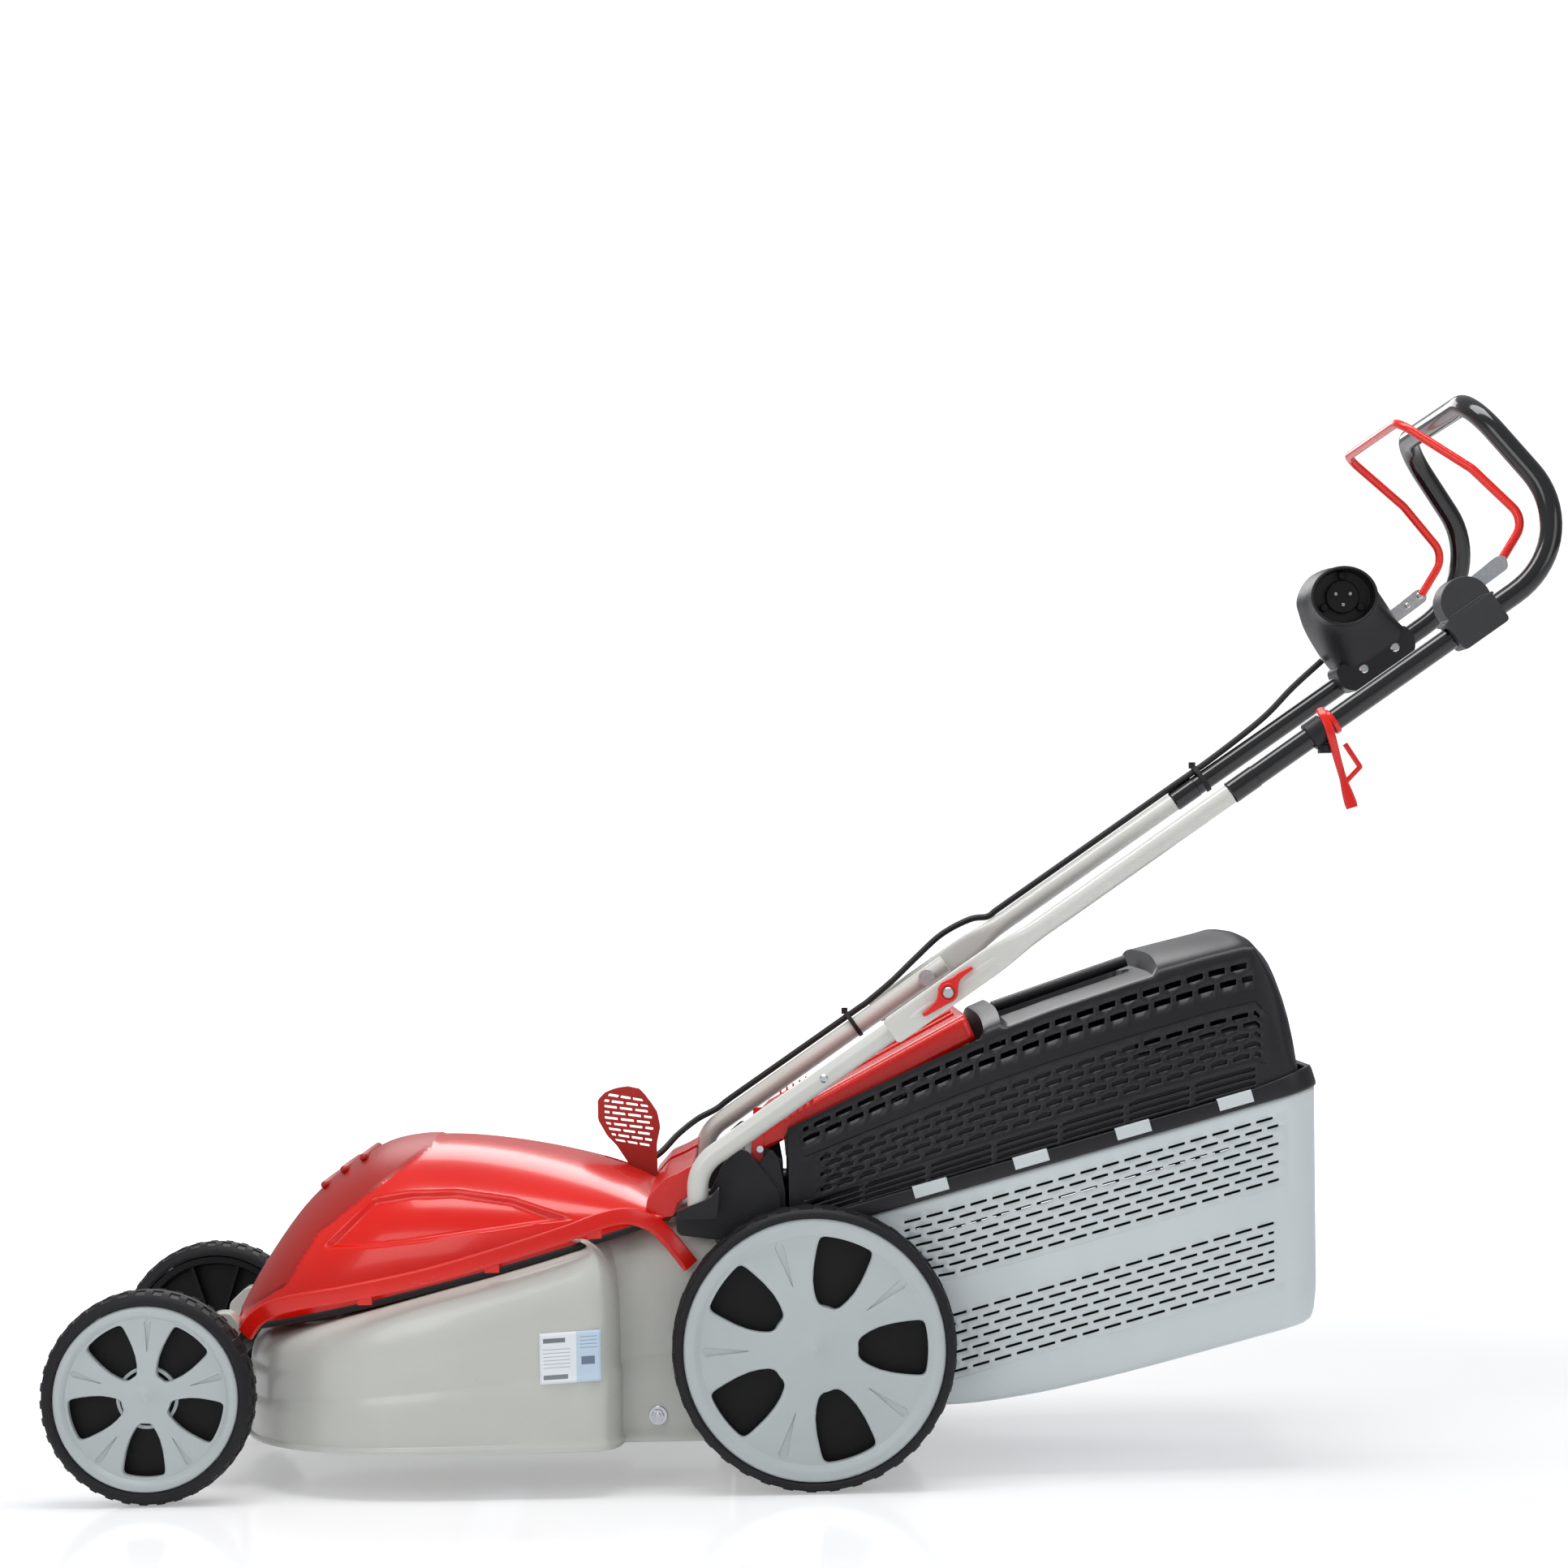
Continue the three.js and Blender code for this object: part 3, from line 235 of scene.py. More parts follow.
def piece(name, parts, materials, body, stands_for=(), sharp=35.0):
    """One mesh from several (points in mm, faces[, material number]), cleaned and on its body."""
    mesh = bpy.data.meshes.new(name)
    verts, faces, slots = [], [], []
    start = 0
    for part in parts:
        verts.append(np.asarray(part[0], float).reshape(-1, 3))
        faces += [tuple(i + start for i in face) for face in part[1]]
        slots += [part[2] if len(part) > 2 else 0] * len(part[1])
        start += len(verts[-1])
    mesh.from_pydata(in_frame(np.concatenate(verts)).tolist(), [], faces)
    mesh.polygons.foreach_set("material_index", slots)
    clean = bmesh.new()
    clean.from_mesh(mesh)
    bmesh.ops.remove_doubles(clean, verts=clean.verts, dist=2e-5)
    bmesh.ops.dissolve_degenerate(clean, edges=clean.edges, dist=1e-5)
    bmesh.ops.recalc_face_normals(clean, faces=clean.faces)
    clean.to_mesh(mesh)
    clean.free()
    mesh.polygons.foreach_set("use_smooth", [True] * len(mesh.polygons))
    mesh.set_sharp_from_angle(angle=np.radians(sharp))
    for material in materials if isinstance(materials, (list, tuple)) else [materials]:
        mesh.materials.append(material)
    made = bpy.data.objects.new(name, mesh)
    scene.collection.objects.link(made)
    if stands_for:
        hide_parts(*stands_for)
    if body:
        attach(made, body)
    return made


def surface_group():
    """Colour, roughness and relief over a surface: broad patches, faint scuffs and fine grain."""
    group = bpy.data.node_groups.new("worn_surface", "ShaderNodeTree")
    sockets = [
        ("Light", "NodeSocketColor"), ("Dark", "NodeSocketColor"), ("Smooth", "NodeSocketFloat"),
        ("Rough", "NodeSocketFloat"), ("Grain", "NodeSocketFloat"), ("Scuffs", "NodeSocketFloat"),
    ]
    for label, kind in sockets:
        group.interface.new_socket(label, in_out="INPUT", socket_type=kind)
    for label, kind in (("Colour", "NodeSocketColor"), ("Roughness", "NodeSocketFloat"),
                        ("Height", "NodeSocketFloat")):
        group.interface.new_socket(label, in_out="OUTPUT", socket_type=kind)
    add, link = node_tools(group)
    given = add("NodeGroupInput")
    result = add("NodeGroupOutput")
    place = add("ShaderNodeTexCoord")
    patches = add("ShaderNodeTexNoise")
    patches.inputs["Scale"].default_value = 7.0
    patches.inputs["Detail"].default_value = 4.0
    grain = add("ShaderNodeTexNoise")
    grain.inputs["Detail"].default_value = 2.0
    stretch = add("ShaderNodeMapping")
    stretch.inputs["Scale"].default_value = (90.0, 22.0, 160.0)
    scratches = add("ShaderNodeTexNoise")
    scratches.inputs["Scale"].default_value = 1.0
    scratches.inputs["Detail"].default_value = 3.0
    sparse = add("ShaderNodeMapRange")
    sparse.inputs["From Min"].default_value = 0.62
    sparse.inputs["From Max"].default_value = 0.74
    blend = add("ShaderNodeMix", data_type="RGBA")
    scuffed = add("ShaderNodeMath", operation="MULTIPLY")
    even = add("ShaderNodeMapRange")
    even.inputs["From Min"].default_value = 0.3
    even.inputs["From Max"].default_value = 0.7
    roughness = add("ShaderNodeMix", data_type="FLOAT")
    rougher = add("ShaderNodeMath", operation="ADD")
    lowered = add("ShaderNodeMath", operation="SUBTRACT")
    for texture in (patches, grain):
        link(place.outputs["Object"], texture.inputs["Vector"])
    link(given.outputs["Grain"], grain.inputs["Scale"])
    link(place.outputs["Object"], stretch.inputs["Vector"])
    link(stretch.outputs["Vector"], scratches.inputs["Vector"])
    link(scratches.outputs["Fac"], sparse.inputs["Value"])
    link(sparse.outputs["Result"], scuffed.inputs[0])
    link(given.outputs["Scuffs"], scuffed.inputs[1])
    link(patches.outputs["Fac"], even.inputs["Value"])
    link(even.outputs["Result"], blend.inputs["Factor"])
    link(given.outputs["Light"], blend.inputs["A"])
    link(given.outputs["Dark"], blend.inputs["B"])
    link(grain.outputs["Fac"], roughness.inputs["Factor"])
    link(given.outputs["Smooth"], roughness.inputs["A"])
    link(given.outputs["Rough"], roughness.inputs["B"])
    link(roughness.outputs["Result"], rougher.inputs[0])
    link(scuffed.outputs["Value"], rougher.inputs[1])
    link(grain.outputs["Fac"], lowered.inputs[0])
    link(scuffed.outputs["Value"], lowered.inputs[1])
    link(blend.outputs["Result"], result.inputs["Colour"])
    link(rougher.outputs["Value"], result.inputs["Roughness"])
    link(lowered.outputs["Value"], result.inputs["Height"])
    return group


WORN_SURFACE = surface_group()


def linear(colour):
    """A screen colour of 0 to 255 as the linear light that a shader takes."""
    share = np.asarray(colour, float) / 255.0
    return tuple(np.where(share <= 0.04045, share / 12.92, ((share + 0.055) / 1.055) ** 2.4)) + (1.0,)


def finish(name, light, dark, smooth, rough, grain, relief, scuffs=0.0, **fixed):
    """A shader fed by the worn surface; relief is in metres, fixed are plain shader values."""
    material = bpy.data.materials.new(name)
    material.use_nodes = True
    add, link = node_tools(material.node_tree)
    shader = material.node_tree.nodes["Principled BSDF"]
    for socket, value in fixed.items():
        shader.inputs[socket.replace("_", " ").replace("Ior", "IOR")].default_value = value
    worn = add("ShaderNodeGroup", node_tree=WORN_SURFACE)
    worn.inputs["Light"].default_value = linear(light)
    worn.inputs["Dark"].default_value = linear(dark)
    worn.inputs["Smooth"].default_value = smooth
    worn.inputs["Rough"].default_value = rough
    worn.inputs["Grain"].default_value = grain
    worn.inputs["Scuffs"].default_value = scuffs
    bump = add("ShaderNodeBump")
    bump.inputs["Strength"].default_value = 0.5
    bump.inputs["Distance"].default_value = relief
    link(worn.outputs["Colour"], shader.inputs["Base Color"])
    link(worn.outputs["Roughness"], shader.inputs["Roughness"])
    link(worn.outputs["Height"], bump.inputs["Height"])
    link(bump.outputs["Normal"], shader.inputs["Normal"])
    return material


rubber = finish(
    "tread_rubber", (25, 25, 28), (17, 17, 20), 0.46, 0.66, 900, 0.0003, 0.08, Specular_Ior_Level=0.35,
)


def tyre(middle, y, radius, rim):
    """Rings of a tread profile [x, radius] turned round the axle, sunk between the lugs."""
    shares = np.array([0.0, 0.05, 0.45, 0.5, 0.55, 0.95])
    turn = ((np.arange(LUG_PITCHES)[:, None] + shares) / LUG_PITCHES).ravel() * 2 * np.pi
    near = np.tile([1.0, 0, 0, 1, 1, 1], LUG_PITCHES)
    far = np.tile([1.0, 1, 1, 1, 0, 0], LUG_PITCHES)
    wall = radius - rim
    half = [
        (WHEEL_HALF - 2, rim, 0), (WHEEL_HALF, rim + 0.18 * wall, 0),
        (WHEEL_HALF, rim + 0.35 * wall, 0),
        (WHEEL_HALF - 1.2, rim + 0.56 * wall, 0), (WHEEL_HALF - 3.6, rim + 0.76 * wall, 0),
        (WHEEL_HALF - 7, rim + 0.90 * wall, 1), (WHEEL_HALF - 11, rim + 0.98 * wall, 1),
        (8.5, radius, 1), (7.5, radius - 3, 0), (5.5, radius - 3, 0), (4.8, radius - 0.3, 0),
    ]
    half = np.array(half)
    profile = np.concatenate([half, half[::-1] * [-1, 1, 1]])
    sink = np.where(profile[:, 0] > 0, near[:, None], far[:, None]) * profile[:, 2] * LUG_DEPTH
    reach = profile[:, 1] - sink
    x = np.broadcast_to(middle + profile[:, 0], reach.shape)
    ring = np.stack([x, y + reach * np.cos(turn)[:, None], radius + reach * np.sin(turn)[:, None]], -1)
    return skin(ring, True, True)


for end, axle_y, radius, rim, first_window in WHEELS:
    for label, side in SIDES:
        name = f"{end}_tyre_{label}"
        piece(
            f"{end}_tread_{label}", [tyre(side * WHEEL_X, axle_y, radius, rim)], rubber,
            f"{end}_wheel_{label}", [name],
        )


# ---- Rim covers ----
# Light grey moulded wheel faces: a raised round lip, five broad spokes with a tapered groove in each,
# windows with rolled edges between them, and a flat hub with a small moulding point.
WINDOW_COUNT = 5
COVER_FACE_X = 238.6
rim_plastic = finish("rim_moulding", (192, 199, 199), (183, 191, 192), 0.3, 0.42, 1400, 0.0001, 0.05)


def turned(profile, y, z, steps=96):
    """Each [radius, x] point of a profile carried round an axis along X, at height z."""
    profile = np.asarray(profile, float)
    turn = np.linspace(0, 2 * np.pi, steps, endpoint=False)[:, None]
    x = np.broadcast_to(profile[:, 1], (steps, len(profile)))
    return np.stack([x, y + profile[:, 0] * np.cos(turn), z + profile[:, 0] * np.sin(turn)], -1)


WINDOW_SPAN = {"front": (0.265, 0.838, 1.11), "rear": (0.333, 0.862, 1.0)}
WINDOW_LEAN = ((0, 0.03, 0.08, 0.2, 0.35, 0.55, 0.8, 1.0),
               (8.5, 12.5, 14.9, 17.3, 18.3, 17.6, 15.8, 14.4))


def spoke_sector(rim, middle_angle, end):
    """One fifth of the cover as rings from a window's edge out to the sector's border.

    The window is a squarish superellipse whose angle swells and narrows with radius. Depth falls away
    round the window, and along the border between two sectors a tapered groove is sunk, with steep sides.
    """
    turn = np.linspace(0, 2 * np.pi, 96, endpoint=False)
    square = np.stack([np.cos(turn), np.sin(turn)], -1)
    square = square / np.abs(square).max(1, keepdims=True)
    power = 13.0
    size = (np.abs(square) ** power).sum(1, keepdims=True) ** (-1 / power)
    inner, outer = 0.24, 0.868
    low, high, swell = WINDOW_SPAN[end]
    window_r = (low + high) / 2 + (high - low) / 2 * (square * size)[:, 0]
    lean = swell * np.interp((window_r - low) / (high - low), *WINDOW_LEAN)
    window_a = lean * (square * size)[:, 1]
    border_r = np.interp(square[:, 0], [-1, 1], [inner, outer])
    border_a = 36.0 * square[:, 1]
    groove = np.interp(border_r, [0.50, 0.515, 0.84, 0.846], [0.0, 0.004, 0.036, 0.0])
    across = np.maximum(border_r * np.radians(np.abs(border_a) - np.abs(window_a)), 0.05)
    share = np.clip(groove / across, 0.0, 0.3) * (np.abs(square[:, 1]) > 0.999)
    steps = np.array([0, 0, 0.03, 0.08, 0.16, 0.3, 0.45, 0.6])
    shares = np.repeat(steps[:, None], len(turn), 1)
    edges = [1 - 1.10 * share, 1 - 0.88 * share, 1 - 0.5 * share, np.ones_like(share)]
    shares = np.concatenate([shares, np.array(edges)])
    drop = np.concatenate([[9.0, 2.4, 0.9, 0.2], np.zeros(len(shares) - 4)])[:, None]
    sunk = np.zeros_like(shares)
    sunk[-3:] = np.where(share > 0, 1.8, 0.0)
    r = window_r + (border_r - window_r) * shares
    a = window_a + (border_a - window_a) * shares
    angle = np.radians(a + middle_angle)
    depth = COVER_FACE_X - 1.8 - drop - sunk - 1.2 * np.interp(r, [0.24, 0.6, 0.868], [1, 0.3, 0])
    return np.stack([depth, rim * r * np.cos(angle), rim * r * np.sin(angle)], -1)


def rim_cover(rim, first_window, end):
    """The five sectors, the hub disc and the outer lip, about an axle at Y 0 and Z 0."""
    parts = []
    for k in range(WINDOW_COUNT):
        parts.append(skin(spoke_sector(rim, first_window + 72.0 * k, end), False, True))
    low = COVER_FACE_X - 3.0
    hub = [
        (0.0, low + 1.4), (3.0, low + 1.3), (4.2, low + 0.6), (4.8, low), (0.24 * rim, low),
        (0.24 * rim, low - 6),
        (0.0, low - 6),
    ]
    parts.append(skin(turned(hub, 0, 0), True, False))
    boss = [(0.30 * rim, low - 9), (0.335 * rim, low - 9), (0.335 * rim, low - 16),
            (0.30 * rim, low - 16)]
    parts.append(skin(turned(boss, 0, 0), True, True))
    lip = [
        (0.864 * rim, COVER_FACE_X - 5), (0.868 * rim, COVER_FACE_X - 1.8),
        (0.885 * rim, COVER_FACE_X - 0.6),
        (0.905 * rim, COVER_FACE_X + 1.9), (0.922 * rim, COVER_FACE_X + 2.8),
        (0.94 * rim, COVER_FACE_X + 2.9),
        (0.975 * rim, COVER_FACE_X + 2.3), (0.992 * rim, COVER_FACE_X + 1.0),
        (rim - 0.2, COVER_FACE_X - 1.5),
        (rim - 0.2, COVER_FACE_X - 8), (0.96 * rim, COVER_FACE_X - 8),
    ]
    parts.append(skin(turned(lip, 0, 0), True, True))
    return parts


for end, axle_y, radius, rim, first_window in WHEELS:
    for label, side in SIDES:
        flat = rim_cover(rim, first_window, end)
        cover = [(verts * [side, 1, 1] + [0, axle_y, radius], faces) for verts, faces in flat]
        piece(
            f"{end}_rim_{label}", cover, rim_plastic, f"{end}_wheel_{label}",
            [f"{end}_rim_cover_{label}"], 50,
        )


# ---- Wheel cores ----
# Black dished mouldings behind the covers: a hub tube on the stub axle, a web with ten ribs, and the
# band that the tread grips.
core_plastic = finish(
    "core_moulding", (17, 17, 19), (12, 12, 14), 0.45, 0.6, 1100, 0.0003, 0.06, Specular_Ior_Level=0.25,
)


def box_part(low, high):
    """A block between two corners."""
    pick = np.array([[(i >> 2) & 1, (i >> 1) & 1, i & 1] for i in range(8)])
    corners = np.where(pick, high, low)
    return corners, [(0, 1, 3, 2), (4, 6, 7, 5), (0, 4, 5, 1), (2, 3, 7, 6), (0, 2, 6, 4), (1, 5, 7, 3)]


def wheel_core(rim):
    """A closed [radius, x] section turned round the axle, with ribs inboard of its web."""
    section = [
        (6.4, -19.5), (17, -19.5), (17.5, -4), (rim - 12, -4), (rim - 8, -19.5), (rim - 1.5, -19.5),
        (rim - 1.5, 8), (rim - 8, 8), (rim - 11, 2), (18, 2), (16, 13.5), (6.4, 13.5),
    ]
    parts = [skin(turned(section, 0, 0), True, True)]
    for k in range(10):
        angle = np.radians(36 * k)
        verts, faces = box_part((-17, 15, -1.6), (-3, rim - 9, 1.6))
        y = verts[:, 1] * np.cos(angle) - verts[:, 2] * np.sin(angle)
        z = verts[:, 1] * np.sin(angle) + verts[:, 2] * np.cos(angle)
        parts.append((np.stack([verts[:, 0], y, z], -1), faces))
    return parts


for end, axle_y, radius, rim, first_window in WHEELS:
    for label, side in SIDES:
        core = [
            (verts * [side, 1, 1] + [side * WHEEL_X, axle_y, radius], faces) for verts,
            faces in wheel_core(rim)
        ]
        piece(
            f"{end}_core_{label}", core, core_plastic, f"{end}_wheel_{label}",
            [f"{end}_wheel_core_{label}"],
        )


# ---- Axles and their bearings ----
# Zinc-plated bent rods, one across each end of the deck, in black moulded bearing blocks. They are
# the shapes that the frame holds, with their real finishes.
zinc = finish("zinc_plate", (226, 228, 230), (196, 199, 203), 0.16, 0.3, 260, 0.0001, 0.12,
              Metallic=1.0)
steel = finish("bare_steel", (150, 152, 156), (118, 120, 124), 0.28, 0.5, 420, 0.0003, 0.2,
               Metallic=1.0)


def refinish(name, material):
    """Gives a carried-over node its real finish."""
    for material_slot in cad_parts[name].material_slots:
        material_slot.material = material


for name in ("front_axle", "rear_axle", "flap_rod", "fold_bolt_left", "fold_bolt_right", "blade_bolt"):
    refinish(name, zinc)
for end in ("front", "rear"):
    for label, _ in SIDES:
        refinish(f"{end}_bearing_{label}", core_plastic)


# ---- Deck ----
# A pressed steel bell, painted warm grey, open below. Its wall has a rolled foot, a pressed crease and
# a rounded shoulder; it narrows in front of the rear wheels, and its rear wall is open to the chute.
BLADE_Y = -335.0
DECK_HALF = 238.0
DECK_NARROW_HALF = 184.0
DECK_FRONT_Y = -584.0
DECK_REAR_Y = -84.0
DECK_FOOT_Z = 45.0
DECK_SHEET = 3.0
MOTOR_SEAT_Z = 232.0
CHUTE_HALF = 158.0
CHUTE_LOW = 160.0
CHUTE_HIGH = 248.0
deck_paint = finish("deck_paint", (203, 204, 197), (194, 196, 189), 0.24, 0.36, 300, 0.0001, 0.05,
                    Coat_Weight=0.35)


def deck_top(y):
    """Height of the deck's top edge: a gentle climb that steepens to the rear and ends level."""
    back = y + 550.0
    return np.minimum(160.0 + 0.2 * back + 0.00014 * back * back, 262.0)


def bezier(a, b, c, d, steps):
    """Points of a cubic curve from a to d, drawn towards b and c."""
    t = np.linspace(0, 1, steps)[:, None]
    near, far = 1 - t, t
    ends = near ** 3 * np.array(a) + far ** 3 * np.array(d)
    return ends + 3 * near ** 2 * far * b + 3 * near * far * far * c


def deck_outline():
    """The plan's left half from the front's middle to the rear's, then its mirror."""
    nose = bezier((0, DECK_FRONT_Y), np.array((150, DECK_FRONT_Y)), np.array((DECK_HALF, -520)),
                  (DECK_HALF, -350), 34)
    flank = np.linspace((DECK_HALF, -340), (DECK_HALF, -232), 12)
    waist = bezier((DECK_HALF, -228), np.array((DECK_HALF, -204)), np.array((230, -194)),
                   (DECK_NARROW_HALF, -190), 16)
    tail = np.linspace((DECK_NARROW_HALF, -182), (DECK_NARROW_HALF, DECK_REAR_Y), 9)
    rear = np.array([(CHUTE_HALF, DECK_REAR_Y), (CHUTE_HALF / 2, DECK_REAR_Y), (0, DECK_REAR_Y)])
    half = np.concatenate([nose, flank, waist, tail, rear])
    return np.concatenate([half, half[-2:0:-1] * [-1, 1]])


def inset(outline, amount):
    """A closed plan moved inwards, square to itself, by an amount that may vary along it."""
    ahead = np.roll(outline, -1, 0) - np.roll(outline, 1, 0)
    run = ahead / np.linalg.norm(ahead, axis=1, keepdims=True)
    inward = np.stack([-run[:, 1], run[:, 0]], -1)
    return outline + inward * np.reshape(amount, (-1, 1))


DECK_LEVELS = np.array([
    # share of the wall's height, draw-in from the outline
    (0.0, 2.5), (0.004, -1.0), (0.020, -1.6), (0.036, -1.0), (0.050, 1.2), (0.09, 1.4), (0.26, 0.6),
    (0.36, 0.4),
    (0.385, 2.6), (0.41, 3.0), (0.53, 2.8), (0.64, 3.2), (0.74, 4.4), (0.82, 6.6), (0.885, 10.4),
    (0.93, 15.0),
    (0.965, 20.5), (0.99, 27.0), (1.0, 34.0), (1.0, 60.0), (1.0, 90.0),
])


def deck_wall(outline, share, draw_in):
    """Where a share of the wall's height lies on the deck, for each point of the plan."""
    plan = inset(outline, draw_in)
    top = deck_top(outline[:, 1])
    return np.concatenate([plan, (DECK_FOOT_Z + share * (top - DECK_FOOT_Z))[:, None]], 1)


def deck_shell():
    """Rings of wall from the foot up, then the top running in to the motor seat and its shaft hole."""
    outline = deck_outline()
    rings = [deck_wall(outline, share, draw_in) for share, draw_in in DECK_LEVELS]
    turn = np.arctan2(outline[:, 1] - BLADE_Y, outline[:, 0])
    for radius, height in ((96, MOTOR_SEAT_Z - 14), (84, MOTOR_SEAT_Z), (50, MOTOR_SEAT_Z),
                           (24, MOTOR_SEAT_Z)):
        circle = np.stack([radius * np.cos(turn), BLADE_Y + radius * np.sin(turn),
                           np.full(len(turn), height)], -1)
        rings.append(circle)
    grid = np.array(rings)
    middle = (grid[:-1] + np.roll(grid[:-1], -1, 1)) / 2
    middle = (middle + (grid[1:] + np.roll(grid[1:], -1, 1)) / 2) / 2
    at_rear = (middle[..., 1] > DECK_REAR_Y - 12) & (np.abs(middle[..., 0]) < CHUTE_HALF)
    open_chute = at_rear & (middle[..., 2] > CHUTE_LOW - 25) & (middle[..., 2] < CHUTE_HIGH)
    return skin(grid, False, True, ~open_chute)


def thicken(made, thickness, inwards=True):
    """Gives an open sheet its wall."""
    wall = made.modifiers.new("wall", "SOLIDIFY")
    wall.thickness = thickness * 0.001
    wall.offset = -1.0 if inwards else 1.0


def soften(made, radius, steps=2, angle=32.0):
    """Rounds a piece's edges."""
    edge = made.modifiers.new("edges", "BEVEL")
    edge.width = radius * 0.001
    edge.segments = steps
    edge.limit_method = "ANGLE"
    edge.angle_limit = np.radians(angle)
    edge.use_clamp_overlap = True
    edge.harden_normals = True


deck = piece("deck_shell", [deck_shell()], deck_paint, "chassis", ["deck"], 40)
thicken(deck, DECK_SHEET)

# Two hex bolts with washers hold each bearing plate through the deck's narrow end, and the front axle
# runs in two folded grey brackets on its nose.
DECK_BOLTS = [(-156, 71), (-112, 71)]


def cylinder_x(x_from, x_to, y, z, radius, steps=20, edge=0.4):
    """A pin along X with small chamfers."""
    profile = [(0.01, x_from), (radius - edge, x_from),
               (radius, x_from + edge * np.sign(x_to - x_from))]
    profile += [(radius, x_to - edge * np.sign(x_to - x_from)), (radius - edge, x_to), (0.01, x_to)]
    return skin(turned(profile, y, z, steps), True, False)


for label, side in SIDES:
    bolts = []
    for y, z in DECK_BOLTS:
        at = DECK_NARROW_HALF - 3
        bolts.append(cylinder_x(side * at, side * (at + 3.6), y, z, 9.5, 28))
        bolts.append(cylinder_x(side * (at + 3), side * (at + 8.5), y, z, 6.4, 6))
        bolts.append(cylinder_x(side * (at + 8), side * (at + 10), y, z, 3.6, 16))
    piece(f"deck_bolts_{label}", bolts, zinc, "chassis")


def rounded(outline, radius, steps=5):
    """A closed outline with each corner turned on a small curve through its two cut-back points."""
    points = np.asarray(outline, float)
    before = np.roll(points, 1, 0) - points
    after = np.roll(points, -1, 0) - points
    long_before = np.linalg.norm(before, axis=1, keepdims=True)
    long_after = np.linalg.norm(after, axis=1, keepdims=True)
    cut = np.minimum(radius, 0.45 * np.minimum(long_before, long_after))
    start = points + before / long_before * cut
    end = points + after / long_after * cut
    t = np.linspace(0, 1, steps)[None, :, None]
    curve = (1 - t) ** 2 * start[:, None] + 2 * (1 - t) * t * points[:, None] + t * t * end[:, None]
    return curve.reshape(-1, 2)


def slab(outline, x_from, x_to):
    """A closed [y, z] outline carried along X, with flat ends."""
    outline = np.asarray(outline, float)
    rings = [np.column_stack([np.full(len(outline), x), outline]) for x in (x_from, x_to)]
    return capped(np.array(rings))


for label, side in SIDES:
    folded = rounded([(-622, 138), (-586, 138), (-578, 160), (-588, 173), (-604, 173), (-622, 156)], 5)
    bracket = piece(
        f"nose_bracket_{label}", [slab(folded, side * 108 - 14, side * 108 + 14)], deck_paint,
        "chassis",
    )
    soften(bracket, 1.5)

# A blank rating plate: a white film with a pale blue half and a few grey rules, stuck on the left flank.
label_film = finish("label_film", (240, 243, 246), (232, 237, 242), 0.3, 0.4, 300, 0.0001)


def add_label_print(material):
    """Prints a pale blue field and rows of grey rules on the film, from the plate's own coordinates."""
    add, link = node_tools(material.node_tree)
    shader = material.node_tree.nodes["Principled BSDF"]
    ground = shader.inputs["Base Color"].links[0].from_socket
    place = add("ShaderNodeUVMap", uv_map="plate")
    split = add("ShaderNodeSeparateXYZ")
    link(place.outputs["UV"], split.inputs[0])

    def step(socket, low, high):
        """1 between low and high, 0 outside."""
        above = add("ShaderNodeMath", operation="GREATER_THAN")
        below = add("ShaderNodeMath", operation="LESS_THAN")
        both = add("ShaderNodeMath", operation="MULTIPLY")
        link(socket, above.inputs[0])
        link(socket, below.inputs[0])
        above.inputs[1].default_value = low
        below.inputs[1].default_value = high
        link(above.outputs[0], both.inputs[0])
        link(below.outputs[0], both.inputs[1])
        return both.outputs[0]

    def paint(under, colour, masks):
        """The colour over what lies under it where every mask is 1."""
        mask = masks[0]
        for other in masks[1:]:
            both = add("ShaderNodeMath", operation="MULTIPLY")
            link(mask, both.inputs[0])
            link(other, both.inputs[1])
            mask = both.outputs[0]
        over = add("ShaderNodeMix", data_type="RGBA")
        link(mask, over.inputs["Factor"])
        link(under, over.inputs["A"])
        over.inputs["B"].default_value = linear(colour)
        return over.outputs["Result"]

    rows = add("ShaderNodeMath", operation="MULTIPLY")
    rows.inputs[1].default_value = 14.0
    link(split.outputs["Y"], rows.inputs[0])
    row = add("ShaderNodeMath", operation="FRACT")
    link(rows.outputs[0], row.inputs[0])
    ragged = add("ShaderNodeTexNoise", noise_dimensions="1D")
    ragged.inputs["Scale"].default_value = 1.0
    link(rows.outputs[0], ragged.inputs["W"])
    colour = paint(ground, (196, 216, 233), [step(split.outputs["X"], 0.60, 1.0)])
    rule = step(row.outputs[0], 0.30, 0.48)
    colour = paint(colour, (168, 174, 182),
                   [rule, step(split.outputs["X"], 0.06, 0.50), step(split.outputs["Y"], 0.30, 0.70)])
    colour = paint(colour, (128, 150, 176),
                   [rule, step(split.outputs["X"], 0.66, 0.94), step(split.outputs["Y"], 0.62, 0.95)])
    colour = paint(colour, (120, 124, 130),
                   [step(split.outputs["X"], 0.06, 0.42), step(split.outputs["Y"], 0.80, 0.89)])
    colour = paint(colour, (110, 124, 144),
                   [step(split.outputs["X"], 0.68, 0.90), step(split.outputs["Y"], 0.34, 0.50)])
    colour = paint(colour, (130, 134, 140),
                   [step(split.outputs["X"], 0.06, 0.46), step(split.outputs["Y"], 0.08, 0.17)])
    link(colour, shader.inputs["Base Color"])


